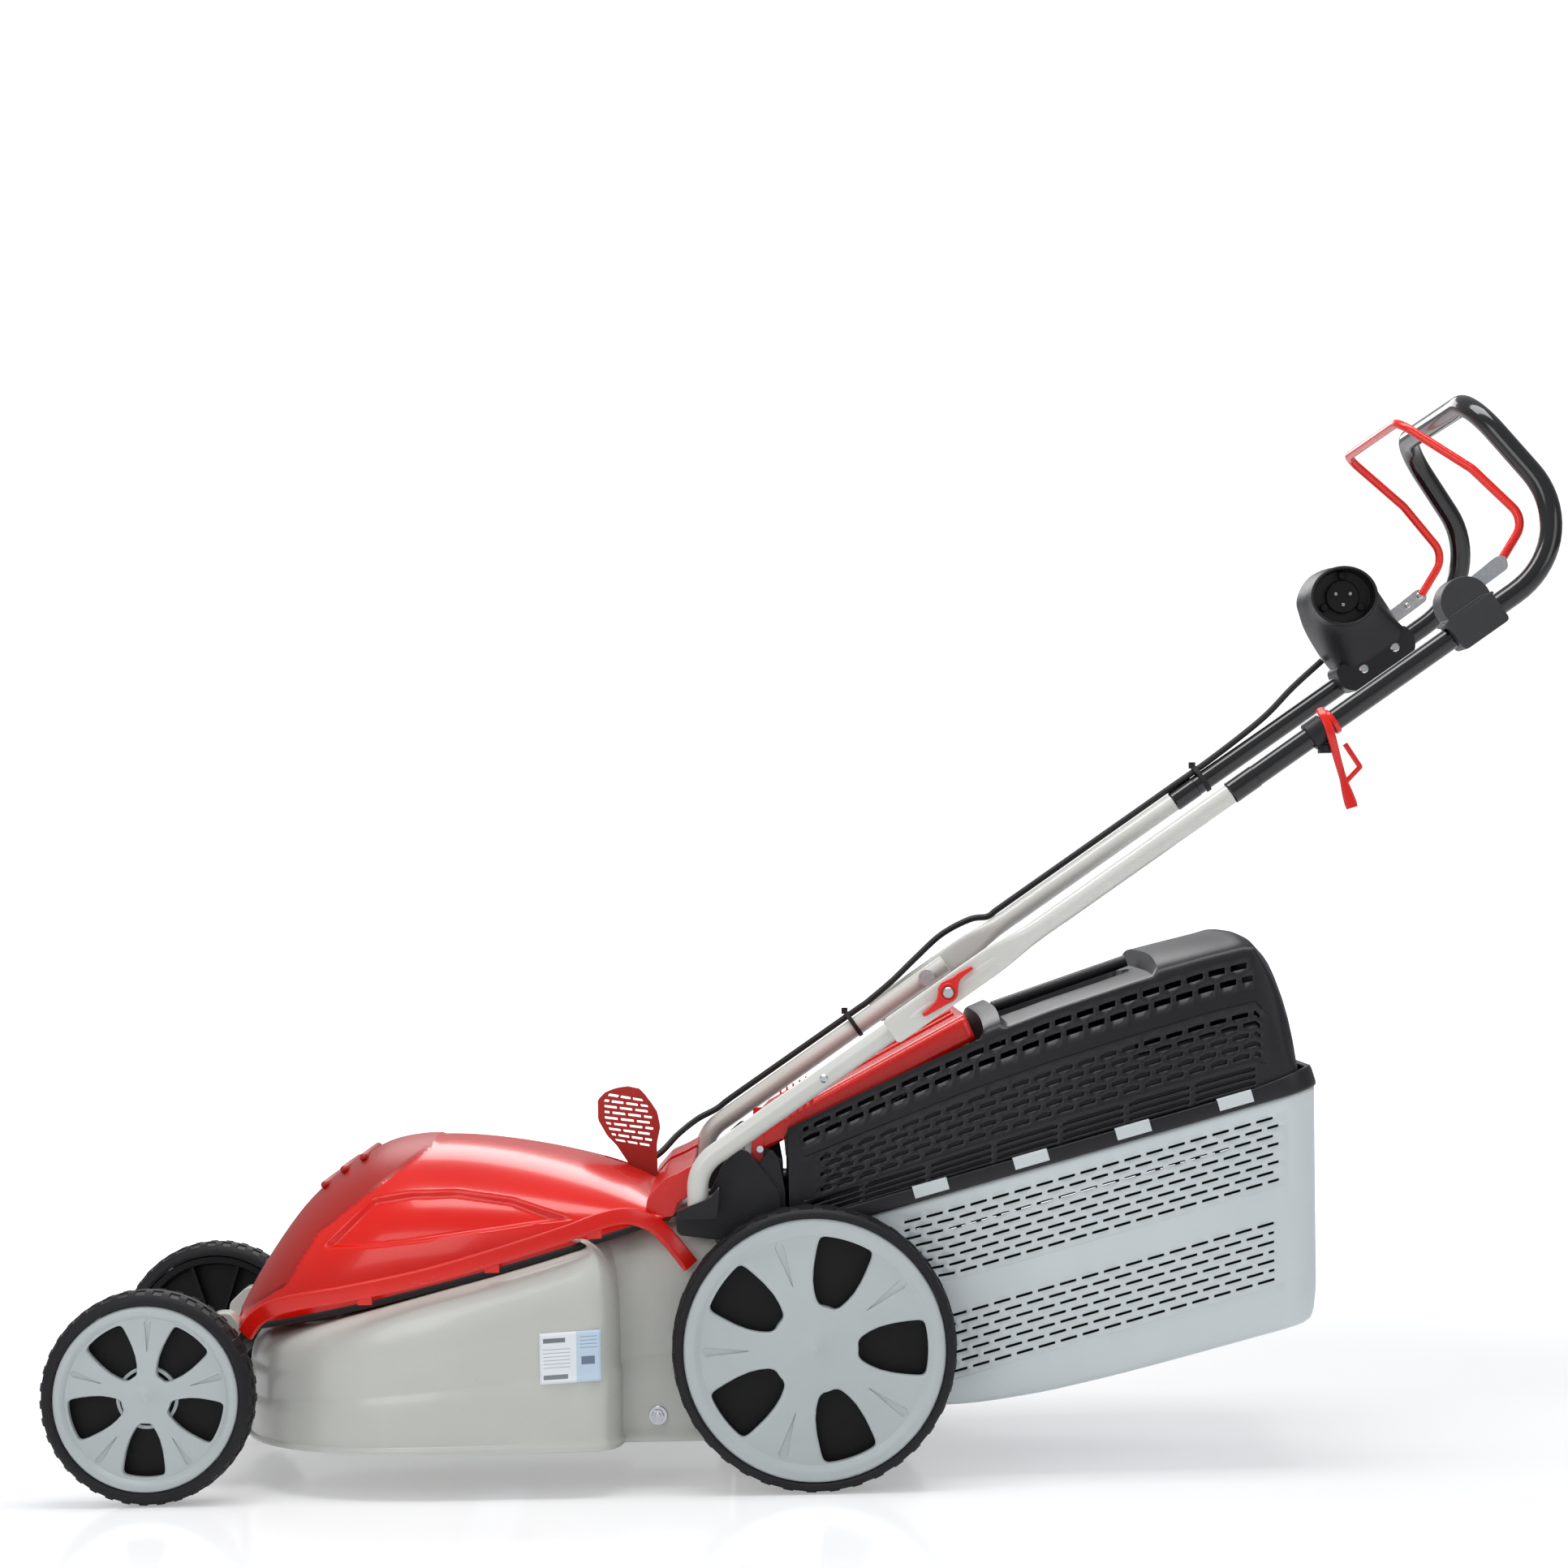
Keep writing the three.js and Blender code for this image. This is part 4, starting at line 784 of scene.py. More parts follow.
def rating_plate(y_from, y_to, low, high, tilt, steps=16):
    """A rectangle of film that hugs the deck's wall: X follows the wall's draw-in at each height."""
    u, v = np.meshgrid(np.linspace(0, 1, steps), np.linspace(0, 1, steps), indexing="ij")
    y = y_from + (y_to - y_from) * u
    z = low + (high - low) * v + tilt * u
    share = (z - DECK_FOOT_Z) / (deck_top(y) - DECK_FOOT_Z)
    x = DECK_HALF - np.interp(share, DECK_LEVELS[:, 0], DECK_LEVELS[:, 1])
    outer = np.stack([x + 0.45, y, z], -1)
    return outer, u, v


outer, u, v = rating_plate(-269, -209, 111.5, 161, 3.0)
plate_verts, plate_faces = skin(outer)
plate = piece("rating_plate", [(plate_verts, plate_faces)], label_film, "chassis")
add_label_print(label_film)
plate_uv = plate.data.uv_layers.new(name="plate")
corner_verts = np.empty(len(plate.data.loops), int)
plate.data.loops.foreach_get("vertex_index", corner_verts)
spots = np.empty(len(plate.data.vertices) * 3)
plate.data.vertices.foreach_get("co", spots)
spots = spots.reshape(-1, 3)[corner_verts]
film = np.stack([(spots[:, 1] * 1000 - REAR_AXLE_Y * 1000 + 269) / 60, 0 * spots[:, 2]], -1)
film[:, 1] = (spots[:, 2] * 1000 - 111.5 - 3.0 * film[:, 0]) / 49.5
plate_uv.data.foreach_set("uv", film.ravel())
thicken(plate, 0.3, False)


# ---- Motor and cutting gear ----
# The brushed motor's drum stands on the deck's seat under the hood. Its shaft carries the fan-shaped
# carrier and the ground steel blade, held by one bolt.
cast_grey = finish("motor_casting", (96, 98, 102), (74, 76, 80), 0.45, 0.62, 700, 0.0006, 0.1)
refinish("motor_housing", cast_grey)
refinish("motor_shaft", steel)
refinish("motor_rotor", steel)
refinish("blade_carrier", core_plastic)


def blade_bar():
    """A flat bar whose ends are ground to an edge in front and turned up behind as winglets."""
    along = np.array([-224.5, -222, -205, -190, -160, -120, -60, -24, 24, 60, 120, 160, 190, 205, 222,
                      224.5])
    across = np.array([-26, -22, -14, 0, 14, 22, 26])
    x, y = np.meshgrid(along, across, indexing="ij")
    tip = np.clip((np.abs(x) - 120) / 100, 0, 1)
    trailing = np.clip(np.where(x > 0, y, -y) / 26, 0, 1)
    leading = np.clip((np.where(x > 0, -y, y) - 14) / 12, 0, 1)
    lift = 13.0 * tip * trailing ** 2
    thin = 3.4 * np.clip((np.abs(x) - 110) / 30, 0, 1) * leading
    top = np.stack([x, BLADE_Y + y, 68 + lift - thin], -1)
    low = np.stack([x, BLADE_Y + y, 64 + lift], -1)
    rings = np.concatenate([top, low[:, ::-1]], 1)
    return capped(rings)


piece("cutting_blade", [blade_bar()], steel, "blade_rotor", ["blade"], 30)


# ---- Motor hood ----
# One glossy red moulding over the motor. A satin band runs up its front to the crest and carries three
# small ribs at its edge; each flank has a shallow leaf-shaped recess. Along the skirt's foot runs a thin
# black strip, painted shade that stands in for the dark gap between hood and deck.
HOOD_CREST = np.array([
    (-586, 168), (-583, 174), (-566, 206), (-543, 242), (-520, 272), (-489, 301), (-462, 319),
    (-436, 332),
    (-405, 338), (-380, 338.5), (-349, 337), (-292, 329), (-235, 316), (-197, 304), (-160, 287),
    (-146, 278),
])
HOOD_HALF = np.array([
    (-586, 88), (-583, 100), (-566, 132), (-543, 152), (-520, 166), (-489, 180), (-450, 191),
    (-405, 198),
    (-349, 203), (-292, 204), (-235, 202), (-197, 197), (-160, 188), (-146, 182),
])
HOOD_WALL = 3.0
LEVER_SLOT = (-78, -42, -215, -130)
hood_red = finish(
    "hood_red", (230, 22, 2), (220, 15, 1), 0.18, 0.26, 60, 0.00002, 0.02,
    Coat_Weight=0.2, Coat_Roughness=0.04, Specular_Ior_Level=0.4,
)
satin_red = finish("satin_red", (176, 26, 14), (160, 20, 10), 0.36, 0.48, 1200, 0.0001, 0.04)


def smooth_along(pairs, where):
    """A value read from [position, value] pairs on a smooth curve through them (monotone cubic)."""
    pairs = np.asarray(pairs, float)
    x, y = pairs[:, 0], pairs[:, 1]
    slope = np.diff(y) / np.diff(x)
    tangent = np.concatenate([slope[:1], (slope[1:] + slope[:-1]) / 2, slope[-1:]])
    turn_back = np.concatenate([[False], slope[1:] * slope[:-1] <= 0, [False]])
    tangent[turn_back] = 0
    where = np.clip(where, x[0], x[-1])
    k = np.clip(np.searchsorted(x, where) - 1, 0, len(x) - 2)
    h = x[k + 1] - x[k]
    t = (where - x[k]) / h
    rise = (2 * t ** 3 - 3 * t ** 2 + 1) * y[k] + (-2 * t ** 3 + 3 * t ** 2) * y[k + 1]
    return rise + h * ((t ** 3 - 2 * t ** 2 + t) * tangent[k] + (t ** 3 - t ** 2) * tangent[k + 1])


def hood_place(y, angle, roundness=2.5):
    """A point of the hood: across and up follow a superellipse over the station's width and height."""
    half = smooth_along(HOOD_HALF, y)
    base = deck_top(y) + 3.0
    crest = smooth_along(HOOD_CREST, y)
    across = np.sign(np.cos(angle)) * np.abs(np.cos(angle)) ** (2 / roundness)
    up = np.sin(angle) ** (2 / roundness)
    return np.stack([half * across, y + 0 * up, base + (crest - base) * up], -1)


def leaf(y, z):
    """How far inside the flank's leaf-shaped recess a point lies: 0 outside, 1 well inside."""
    upper = np.interp(y, [-489, -438, -400, -353, -297, -236], [241, 290, 296, 297, 289, 268])
    lower = np.interp(y, [-489, -427, -370, -319, -275, -236], [241, 244, 251, 258, 264, 268])
    inside = np.minimum(upper - z, z - lower)
    return np.clip(inside / 4.0, 0, 1)


def hood_shell():
    """The superellipse arches, pressed in by the leaf, with the front band 1.6 mm proud."""
    front = np.linspace(-586, -560, 12)
    stations = np.concatenate([front, np.arange(-556, -147, 3.4), [-146.0]])
    angle = np.concatenate([np.linspace(0, 0.3, 24)[:-1], np.linspace(0.3, np.pi / 2, 84)])
    angle = np.concatenate([angle, np.pi - angle[-2::-1]])
    y, a = np.meshgrid(stations, angle, indexing="ij")
    spot = hood_place(y, a)
    dy = hood_place(y + 0.5, a) - hood_place(y - 0.5, a)
    da = hood_place(y, np.clip(a + 0.01, 0, np.pi)) - hood_place(y, np.clip(a - 0.01, 0, np.pi))
    normal = np.cross(da, dy)
    normal = normal / np.maximum(np.linalg.norm(normal, axis=-1, keepdims=True), 1e-9)
    normal = normal * np.sign((normal * (spot - [0, -350, 200])).sum(-1, keepdims=True))
    press = leaf(y, spot[..., 2]) * 5.5
    band_edge = np.interp(y, [-586, -526, -493, -441, -386], [168, 204, 255, 294, 334])
    raised = np.clip((spot[..., 2] - band_edge) / 1.5, 0, 1) * (y < -386) * 1.6
    rear_lip = np.interp(y, [-386, -384, -380], [1, 1, 0])
    spot = spot + normal * (raised * rear_lip - press)[..., None]
    spot[..., 2] = np.maximum(spot[..., 2], 60)
    centre = (spot[:-1, :-1] + spot[1:, 1:]) / 2
    x_low, x_high, y_low, _ = LEVER_SLOT
    in_slot = (centre[..., 0] > x_low) & (centre[..., 0] < x_high) & (centre[..., 1] > y_low)
    glossy = (centre[..., 1] > -386) | (centre[..., 2] < np.interp(
        centre[..., 1], [-586, -526, -493, -441, -386], [168, 204, 255, 294, 334]))
    hull, gloss_faces = skin(spot, keep=glossy & ~in_slot)
    _, satin_faces = skin(spot, keep=~glossy & ~in_slot)
    return [(hull, gloss_faces, 0), (hull, satin_faces, 1)]


hood = piece("hood_shell", hood_shell(), [hood_red, satin_red], "chassis", ["motor_hood"],
             50)
thicken(hood, HOOD_WALL)


def capsule(middle, half_length, radii, axis=0, steps=20):
    """A lying pill: circles carried along one axis, drawn in at both ends as a quarter ellipse."""
    t = np.linspace(-np.pi / 2, np.pi / 2, 13)[:, None]
    turn = np.linspace(0, 2 * np.pi, steps, endpoint=False)
    run = (half_length - radii[0]) * np.sign(t) * (np.abs(t) > 1e-9) + radii[0] * np.sin(t)
    draw = np.maximum(np.cos(t), 0.02)
    grid = np.stack([
        np.broadcast_to(run, (13, steps)), radii[0] * draw * np.cos(turn),
        radii[1] * draw * np.sin(turn),
    ], -1)
    grid = np.roll(grid, axis, -1)
    return capped(grid + middle)


ribs = []
for y in (-497, -477, -457):
    crest_z = float(smooth_along(HOOD_CREST, np.array([y]))[0])
    ribs.append(capsule((0, y, crest_z + 1.0), 74, (4.2, 4.2)))
piece("hood_ribs", ribs, satin_red, "chassis")


def catmull(points, steps=8):
    """Points on a smooth curve through the given ones (uniform Catmull-Rom)."""
    p = np.asarray(points, float)
    p = np.concatenate([2 * p[:1] - p[1:2], p, 2 * p[-1:] - p[-2:-1]])
    t = np.linspace(0, 1, steps, endpoint=False)[None, :, None]
    a, b, c, d = p[:-3, None], p[1:-2, None], p[2:-1, None], p[3:, None]
    square = (2 * a - 5 * b + 4 * c - d) * t ** 2
    cube = (3 * b - a - 3 * c + d) * t ** 3
    curve = 0.5 * (2 * b + (c - a) * t + square + cube)
    return np.concatenate([curve.reshape(-1, p.shape[1]), p[-2:-1]])


def frames_along(path, first_up):
    """For each point of a path: its direction, and two cross axes that turn as little as possible."""
    ahead = np.gradient(path, axis=0)
    ahead = ahead / np.linalg.norm(ahead, axis=1, keepdims=True)
    up = np.asarray(first_up, float)
    ups = []
    for direction in ahead:
        up = up - direction * np.dot(up, direction)
        up = up / np.linalg.norm(up)
        ups.append(up)
    ups = np.array(ups)
    return ahead, ups, np.cross(ahead, ups)


def carried(path, section, first_up=(0, 0, 1)):
    """A closed [side, up] section, one for all points or one for each, carried along a path."""
    path = np.asarray(path, float)
    _, up, side = frames_along(path, first_up)
    section = np.broadcast_to(np.asarray(section, float), (len(path),) + np.shape(section)[-2:])
    return path[:, None] + side[:, None] * section[..., :1] + up[:, None] * section[..., 1:]


def oval(half_side, half_up, steps=24, power=2.0):
    """A superellipse section."""
    turn = np.linspace(0, 2 * np.pi, steps, endpoint=False)
    c, s = np.cos(turn), np.sin(turn)
    return np.stack([
        half_side * np.sign(c) * np.abs(c) ** (2 / power),
        half_up * np.sign(s) * np.abs(s) ** (2 / power),
    ], -1)


# A near-black finish for the cable ties (their own colour), and for the strip along the hood's foot,
# where it is painted shade.
gap_shade_and_tie_black = finish("gap_shade_and_tie_rubber", (22, 22, 24), (16, 16, 18), 0.6, 0.75, 900, 0.0002)
# A thin black strip along each foot of the hood is painted shade: it stands in for the dark gap between
# the hood's skirt and the deck.
for label, side in SIDES:
    y = np.linspace(-560, -160, 60)
    gap_shade_path = np.stack([side * (smooth_along(HOOD_HALF, y) + 1.0), y, deck_top(y) + 3.5], -1)
    piece(f"hood_gap_shade_{label}", [capped(carried(gap_shade_path, oval(2.6, 3.4, 10)))], gap_shade_and_tie_black,
          "chassis")


# ---- Side trims ----
# Red moulded bands that follow the deck's shoulder from behind the front wheel to the rear wheel, held
# by small tongues that reach under the hood's skirt.
TRIM_LINE = [
    (187, -563, 160), (192, -549, 177), (202, -522, 190), (216, -458, 202), (221, -387, 216),
    (223, -315, 235),
    (221, -243, 256), (215, -207, 268), (207, -182, 271), (197, -158, 262), (190, -140, 244),
    (187, -121, 219),
]
trim_red = finish("trim_red", (226, 24, 8), (214, 18, 5), 0.2, 0.3, 300, 0.00004, 0.03, Coat_Weight=0.2)
for label, side in SIDES:
    line = catmull(TRIM_LINE, 8) * [side, 1, 1]
    band = capped(carried(line, oval(4.2, 8.2, 28, 6.0)))
    tongues = []
    for at in (26, 40, 54):
        x, y, z = line[at]
        tongues.append(box_part((x - side * 1 - 5, y - 7, z - 15), (x - side * 1 + 3, y + 7, z - 6)))
    piece(f"trim_{label}", [band] + tongues, trim_red, "chassis", [f"side_trim_{label}"])


# ---- Rear housing and tube sockets ----
# Black mouldings bolted behind the deck: the chute tunnel, and a block at each side that the handle's
# foot drops into.
housing_black = finish(
    "housing_moulding", (31, 31, 34), (23, 23, 26), 0.34, 0.5, 1000, 0.0003, 0.08,
    Specular_Ior_Level=0.35,
)
refinish("rear_tunnel", housing_black)
SOCKET_BLOCK = [(-134, 250), (-30, 236), (-30, 290), (-61, 331), (-70, 335), (-86, 321), (-100, 292),
                (-134, 277)]
SOCKET_CHEEK = [(-133, 269), (-93, 269), (-90, 300), (-98, 290), (-133, 277)]
for label, side in SIDES:
    block = piece(
        f"socket_{label}",
        [
            slab(rounded(SOCKET_BLOCK, 7), side * 185.5, side * 193.5),
            slab(rounded([(-80, 268), (-28, 268), (-28, 292), (-58, 326), (-72, 330)], 5),
                 side * 174.5, side * 190),
        ],
        housing_black, "chassis", [f"tube_socket_{label}"],
    )
    soften(block, 1.6)
    cheek = piece(f"socket_cheek_{label}", [slab(rounded(SOCKET_CHEEK, 4), side * 191, side * 230)],
                  housing_black, "chassis")
    soften(cheek, 1.6)
    seat_outline = [(-62, 312), (-51, 317), (-46, 325), (-38, 332), (-31, 323), (-25.5, 290),
                    (-25.5, 268), (-50, 268)]
    seat = piece(
        f"hinge_seat_{label}", [slab(rounded(seat_outline, 3), side * 174.5, side * 188)],
        housing_black, "chassis",
    )
    soften(seat, 1.0)

# A red ramp closes the deck behind the hood, notched where the height lever stands.
RAMP = [(-166, 262), (-163, 286), (-146, 305), (-129, 312), (-116, 319), (-118, 300), (-123, 286),
        (-133, 280), (-136, 268)]
ramp = piece(
    "rear_ramp", [slab(rounded(RAMP, 4), -182, -84), slab(rounded(RAMP, 4), -36, 182)], trim_red,
    "chassis",
)
soften(ramp, 1.2)


# ---- Lower handle tubes ----
# Bent steel tube in light grey lacquer: upright in the socket, then straight up to the fold bolt, with
# a rivet through each near the bend.
HANDLE_ANGLE = np.radians(34.0)
FOLD = np.array((137.0, 487.0))
LOWER_X = 215.0
UPPER_X = 234.0
ALONG_HANDLE = np.array((0.0, np.cos(HANDLE_ANGLE), np.sin(HANDLE_ANGLE)))
ACROSS_HANDLE = np.array((0.0, -np.sin(HANDLE_ANGLE), np.cos(HANDLE_ANGLE)))
tube_paint = finish("tube_lacquer", (214, 214, 208), (205, 205, 199), 0.2, 0.3, 45, 0.00002, 0.04,
                    Coat_Weight=0.3)


def handle_z(y):
    """Height of the handle's middle line."""
    return FOLD[1] + (y - FOLD[0]) * np.tan(HANDLE_ANGLE)


def on_handle(x, y, above=0.0):
    """A point of the handle's middle line, or the given distance above it, square to the handle."""
    return np.array((x, y, handle_z(y))) + above * ACROSS_HANDLE


def bent(corners, step=6.0):
    """A path that runs straight between [x, y, z, bend radius] corners and turns each on its radius."""
    corners = np.asarray(corners, float)
    path = [corners[:1, :3]]
    for before, corner, after in zip(corners[:-2], corners[1:-1], corners[2:]):
        back = (before[:3] - corner[:3]) / np.linalg.norm(before[:3] - corner[:3])
        on = (after[:3] - corner[:3]) / np.linalg.norm(after[:3] - corner[:3])
        turn = np.pi - np.arccos(np.dot(back, on))
        middle = back + on
        centre = corner[:3] + middle / np.linalg.norm(middle) * corner[3] / np.cos(turn / 2)
        start = corner[:3] + back * corner[3] * np.tan(turn / 2) - centre
        axis = np.cross(on, back)
        axis = axis / np.linalg.norm(axis)
        a = np.linspace(0, turn, max(3, int(np.degrees(turn) / step)))[:, None]
        path.append(centre + start * np.cos(a) + np.cross(axis, start) * np.sin(a))
    path.append(corners[-1:, :3])
    return np.concatenate(path)


def filled(path, longest=25.0):
    """The same path with extra points wherever two neighbours lie far apart."""
    parts = []
    for a, b in zip(path[:-1], path[1:]):
        count = max(1, int(np.linalg.norm(b - a) / longest))
        parts.append(a + (b - a) * np.linspace(0, 1, count, endpoint=False)[:, None])
    return np.concatenate(parts + [path[-1:]])


def tube(path, radius, steps=28):
    """A round rod along a path, with its ends turned in over the last millimetre."""
    path = np.asarray(path, float)
    first = (path[1] - path[0]) / np.linalg.norm(path[1] - path[0])
    last = (path[-1] - path[-2]) / np.linalg.norm(path[-1] - path[-2])
    path = np.concatenate([path[:1], path[:1] + first, path[1:-1], path[-1:] - last, path[-1:]])
    size = np.full(len(path), radius)
    size[[0, -1]] = max(radius - 1.0, radius * 0.6)
    return capped(carried(path, oval(1, 1, steps) * size[:, None, None], (0.1, 0.0, 1.0)))


for label, side in SIDES:
    x = side * LOWER_X
    foot = bent([(x, -112, 278, 0), (x, -112, handle_z(-112), 40), (x, 159, handle_z(159), 0)])
    rivet = on_handle(x, 14)
    parts = [tube(foot, 10.5)]
    piece(f"tube_lower_{label}", parts, tube_paint, "chassis", [f"lower_tube_{label}"])
    rivets = [cylinder_x(side * (LOWER_X + 8.5), side * (LOWER_X + 12.2), rivet[1], rivet[2], 4.2, 20,
                         1.4)]
    piece(f"tube_rivet_{label}", rivets, zinc, "chassis")


# ---- Cam levers ----
# Red moulded Z-shaped quick-release levers on the fold bolts, with a screw head in the middle.
for label, side in SIDES:
    outline = np.array([
        (23.3, 25.4), (10.1, 19.1), (5.4, 15.2), (-6.0, 10.4), (-9.8, 4.8), (-10.3, -3.0),
        (-12.2, -8.2),
        (-20.3, -16.3), (-26.3, -20.3), (-24.2, -23.4), (-21.5, -22.5), (-12.5, -17.6), (0.6, -10.6),
        (5.4, -8.4),
        (9.4, -3.4), (10.0, 6.2), (11.3, 11.3), (16.1, 16.1), (25.3, 22.3),
    ]) + FOLD
    at = UPPER_X + 4
    lever = piece(
        f"quick_lever_{label}",
        [
            slab(rounded(outline, 2), side * at, side * (at + 7)),
            skin(turned([(6.5, side * (at + 6)), (9.5, side * (at + 6)), (9.5, side * (at + 9)),
                         (6.5, side * (at + 9))],
                        *FOLD, 32), True, True),
        ],
        trim_red, f"cam_lever_{label}", [f"cam_lever_{label}"],
    )
    soften(lever, 1.3)
    screw = [
        cylinder_x(side * (at + 5), side * (at + 9.5), *FOLD, 5.6, 24, 1.2),
        box_part((side * (at + 9.2) - 0.7, FOLD[0] - 4.2, FOLD[1] - 0.7),
                 (side * (at + 9.2) + 0.7, FOLD[0] + 4.2, FOLD[1] + 0.7)),
    ]
    piece(f"quick_screw_{label}", screw, zinc, f"cam_lever_{label}")


# ---- Upper handle tubes ----
# The same lacquered tube, pressed flat where it lies beside the lower one and drawn round again above
# the fold, with a pressed bead along the flat.
SLEEVE_Y = 418.0
CHANNEL_LOW_Y = 80.0
for label, side in SIDES:
    y = np.array([CHANNEL_LOW_Y, 81.5, 84, 95, 120, 150, 178, 190, 198, 206, 216, 230, 260, 330, 400,
                  SLEEVE_Y])
    roundness = np.clip((y - 178) / 46, 0, 1)
    roundness = roundness * roundness * (3 - 2 * roundness)
    x = side * (231.8 + (UPPER_X - 231.8) * roundness)
    path = np.stack([x, y, handle_z(y)], -1)
    half_side = 5.1 + (10.5 - 5.1) * roundness
    half_up = 14.0 + (10.5 - 14.0) * roundness
    half_side[:2] -= (2.0, 0.7)
    half_up[:2] -= (2.5, 0.8)
    power = 5.0 + (2.0 - 5.0) * roundness
    sections = np.array([oval(*values) for values in zip(half_side, half_up, np.full(len(y), 36),
                                                         power)])
    bead = filled(np.array([on_handle(side * 236.6, 96), on_handle(side * 236.6, 126)]), 6)
    bead_far = filled(np.array([on_handle(side * 236.6, 149), on_handle(side * 237.4, 192)]), 6)
    fat = np.sin(np.linspace(0.15, np.pi - 0.15, len(bead)))[:, None, None]
    fat_far = np.sin(np.linspace(0.15, np.pi - 0.15, len(bead_far)))[:, None, None]
    piece(
        f"tube_upper_{label}",
        [
            capped(carried(path, sections)),
            capped(carried(bead, oval(1.1, 3.2, 14) * fat)),
            capped(carried(bead_far, oval(1.1, 3.6, 14) * fat_far)),
        ],
        tube_paint, "upper_handle", [f"upper_tube_{label}"],
    )


# ---- Handle bar ----
# One bent tube in gloss black: it sleeves onto the grey tubes, runs back, and turns up and forward to
# the bar across the top.
LOOP_CORNERS = np.array([
    (UPPER_X, SLEEVE_Y + 0.3, handle_z(SLEEVE_Y + 0.3), 0), (UPPER_X, 779.5, handle_z(779.5), 90.2),
    (176, 673.5, 1067.2, 60),
])
gloss_black = finish(
    "gloss_black", (11, 11, 13), (8, 8, 10), 0.10, 0.2, 40, 0.00001, 0.03, Coat_Weight=0.4,
    Coat_Roughness=0.05,
)
loop = np.concatenate([LOOP_CORNERS * [-1, 1, 1, 1], LOOP_CORNERS[::-1]])
sleeves = []
for _, side in SIDES:
    start = on_handle(side * UPPER_X, SLEEVE_Y + 0.5)
    end = on_handle(side * UPPER_X, SLEEVE_Y + 26)
    sleeves.append(tube(filled(np.array([start, end]), 6), 11.6, 32))
piece(
    "grip_bar", [tube(filled(bent(loop, 5.0), 30), 11.0, 32)] + sleeves, gloss_black, "upper_handle",
    ["handle_bar"],
)


# ---- Bail pivot cap ----
# A dark grey half-round cap over the bail's pivot on the left-hand tube, on a clamp that wraps the
# tube; the two meet at a shallow seam.
CAP_INNER_X = 212.0
CAP_OUTER_X = 255.6
cap_grey = finish("cap_moulding", (50, 50, 53), (42, 42, 45), 0.4, 0.54, 900, 0.0003, 0.08)
turn = np.linspace(np.radians(-28), np.radians(232), 40)
disc = np.stack([651 + 25.0 * np.cos(turn + HANDLE_ANGLE - 0.1),
                 860 + 25.0 * np.sin(turn + HANDLE_ANGLE - 0.1)], -1)
clamp_middle = on_handle(0, 662)[1:]
along2, across2 = ALONG_HANDLE[1:], ACROSS_HANDLE[1:]
clamp_outline = [clamp_middle + a * along2 + b * across2 for a,
                 b in ((-27, -17), (27, -17), (27, 15), (17, 19), (-22, 19), (-27, 14))]
seam_outline = [clamp_middle + a * along2 + b * across2 for a,
                b in ((-29, 12.5), (28.5, 12.5), (28.5, 16), (-29, 16))]
cap_parts = [
    slab(disc, CAP_INNER_X, CAP_OUTER_X - 1.2),
    slab(rounded(clamp_outline, 5), CAP_INNER_X + 1, CAP_OUTER_X),
    slab(rounded(seam_outline, 1.4, 3), CAP_INNER_X, CAP_OUTER_X + 0.2),
]
cap = piece("pivot_cap_left", cap_parts, cap_grey, "upper_handle", ["pivot_cap"])
soften(cap, 2.0, 3)


# ---- Switch box ----
# A black moulded housing on the right-hand tube: a round sleeve that faces across the mower with the
# mains inlet sunk in it, swept down into a foot that is screwed round the tube.
INLET = (601.0, 898.0)
box_black = finish(
    "box_moulding", (17, 17, 20), (12, 12, 15), 0.34, 0.46, 1300, 0.0003, 0.08, Specular_Ior_Level=0.4,
)
BOX_MIDDLE = np.array((612.0, 880.0))
BOX_OUTLINE = [
    (562, 894), (566, 912), (578, 927), (596, 934), (615, 932), (630, 924), (644, 909), (656, 892),
    (668, 873),
    (681, 857), (676, 842), (650, 826), (624, 809), (610, 812), (598, 822), (584, 842), (570, 868),
]


def spun_outline(outline, middle, steps=72):
    """The distance from the middle to a closed outline along evenly spread directions, as points."""
    outline = np.asarray(outline, float) - middle
    path = catmull(np.concatenate([outline[-1:], outline, outline[:1]]), 12)
    angle = np.unwrap(np.arctan2(path[:, 1], path[:, 0]))
    if angle[-1] < angle[0]:
        angle, path = angle[::-1], path[::-1]
    turn = np.linspace(-np.pi, np.pi, steps, endpoint=False)
    span = 2 * np.pi
    wanted = angle[0] + np.mod(turn - angle[0], span)
    order = np.argsort(angle)
    reach = np.interp(wanted, angle[order], np.linalg.norm(path, axis=1)[order])
    return middle + reach[:, None] * np.stack([np.cos(turn), np.sin(turn)], -1)


body_ring = spun_outline(BOX_OUTLINE, BOX_MIDDLE)
turn = np.linspace(-np.pi, np.pi, 72, endpoint=False)
mouth_ring = np.array(INLET) + np.stack([37.0 * np.cos(turn), 33.0 * np.sin(turn)], -1)
rings = []
for x, share, scale in (
    (-252, 0, 0.90), (-250, 0, 0.955), (-246, 0, 0.985), (-240, 0, 1.0), (-222, 0, 1.0),
    (-206, 0, 0.99), (-196, 0.06, 0.975),
    (-186, 0.28, 0.97), (-177, 0.62, 0.98), (-169, 0.88, 1.0), (-162, 1.0, 1.0), (-151.5, 1.0, 1.0),
    (-150.2, 1.0, 0.975),
    (-150.0, 1.0, 0.93), (-151.0, 1.0, 0.90), (-160, 1.0, 0.865), (-171, 1.0, 0.85),
):
    ring = body_ring * (1 - share) + mouth_ring * share
    middle = BOX_MIDDLE * (1 - share) + np.array(INLET) * share
    ring = middle + (ring - middle) * scale
    rings.append(np.column_stack([np.full(len(ring), x), ring]))
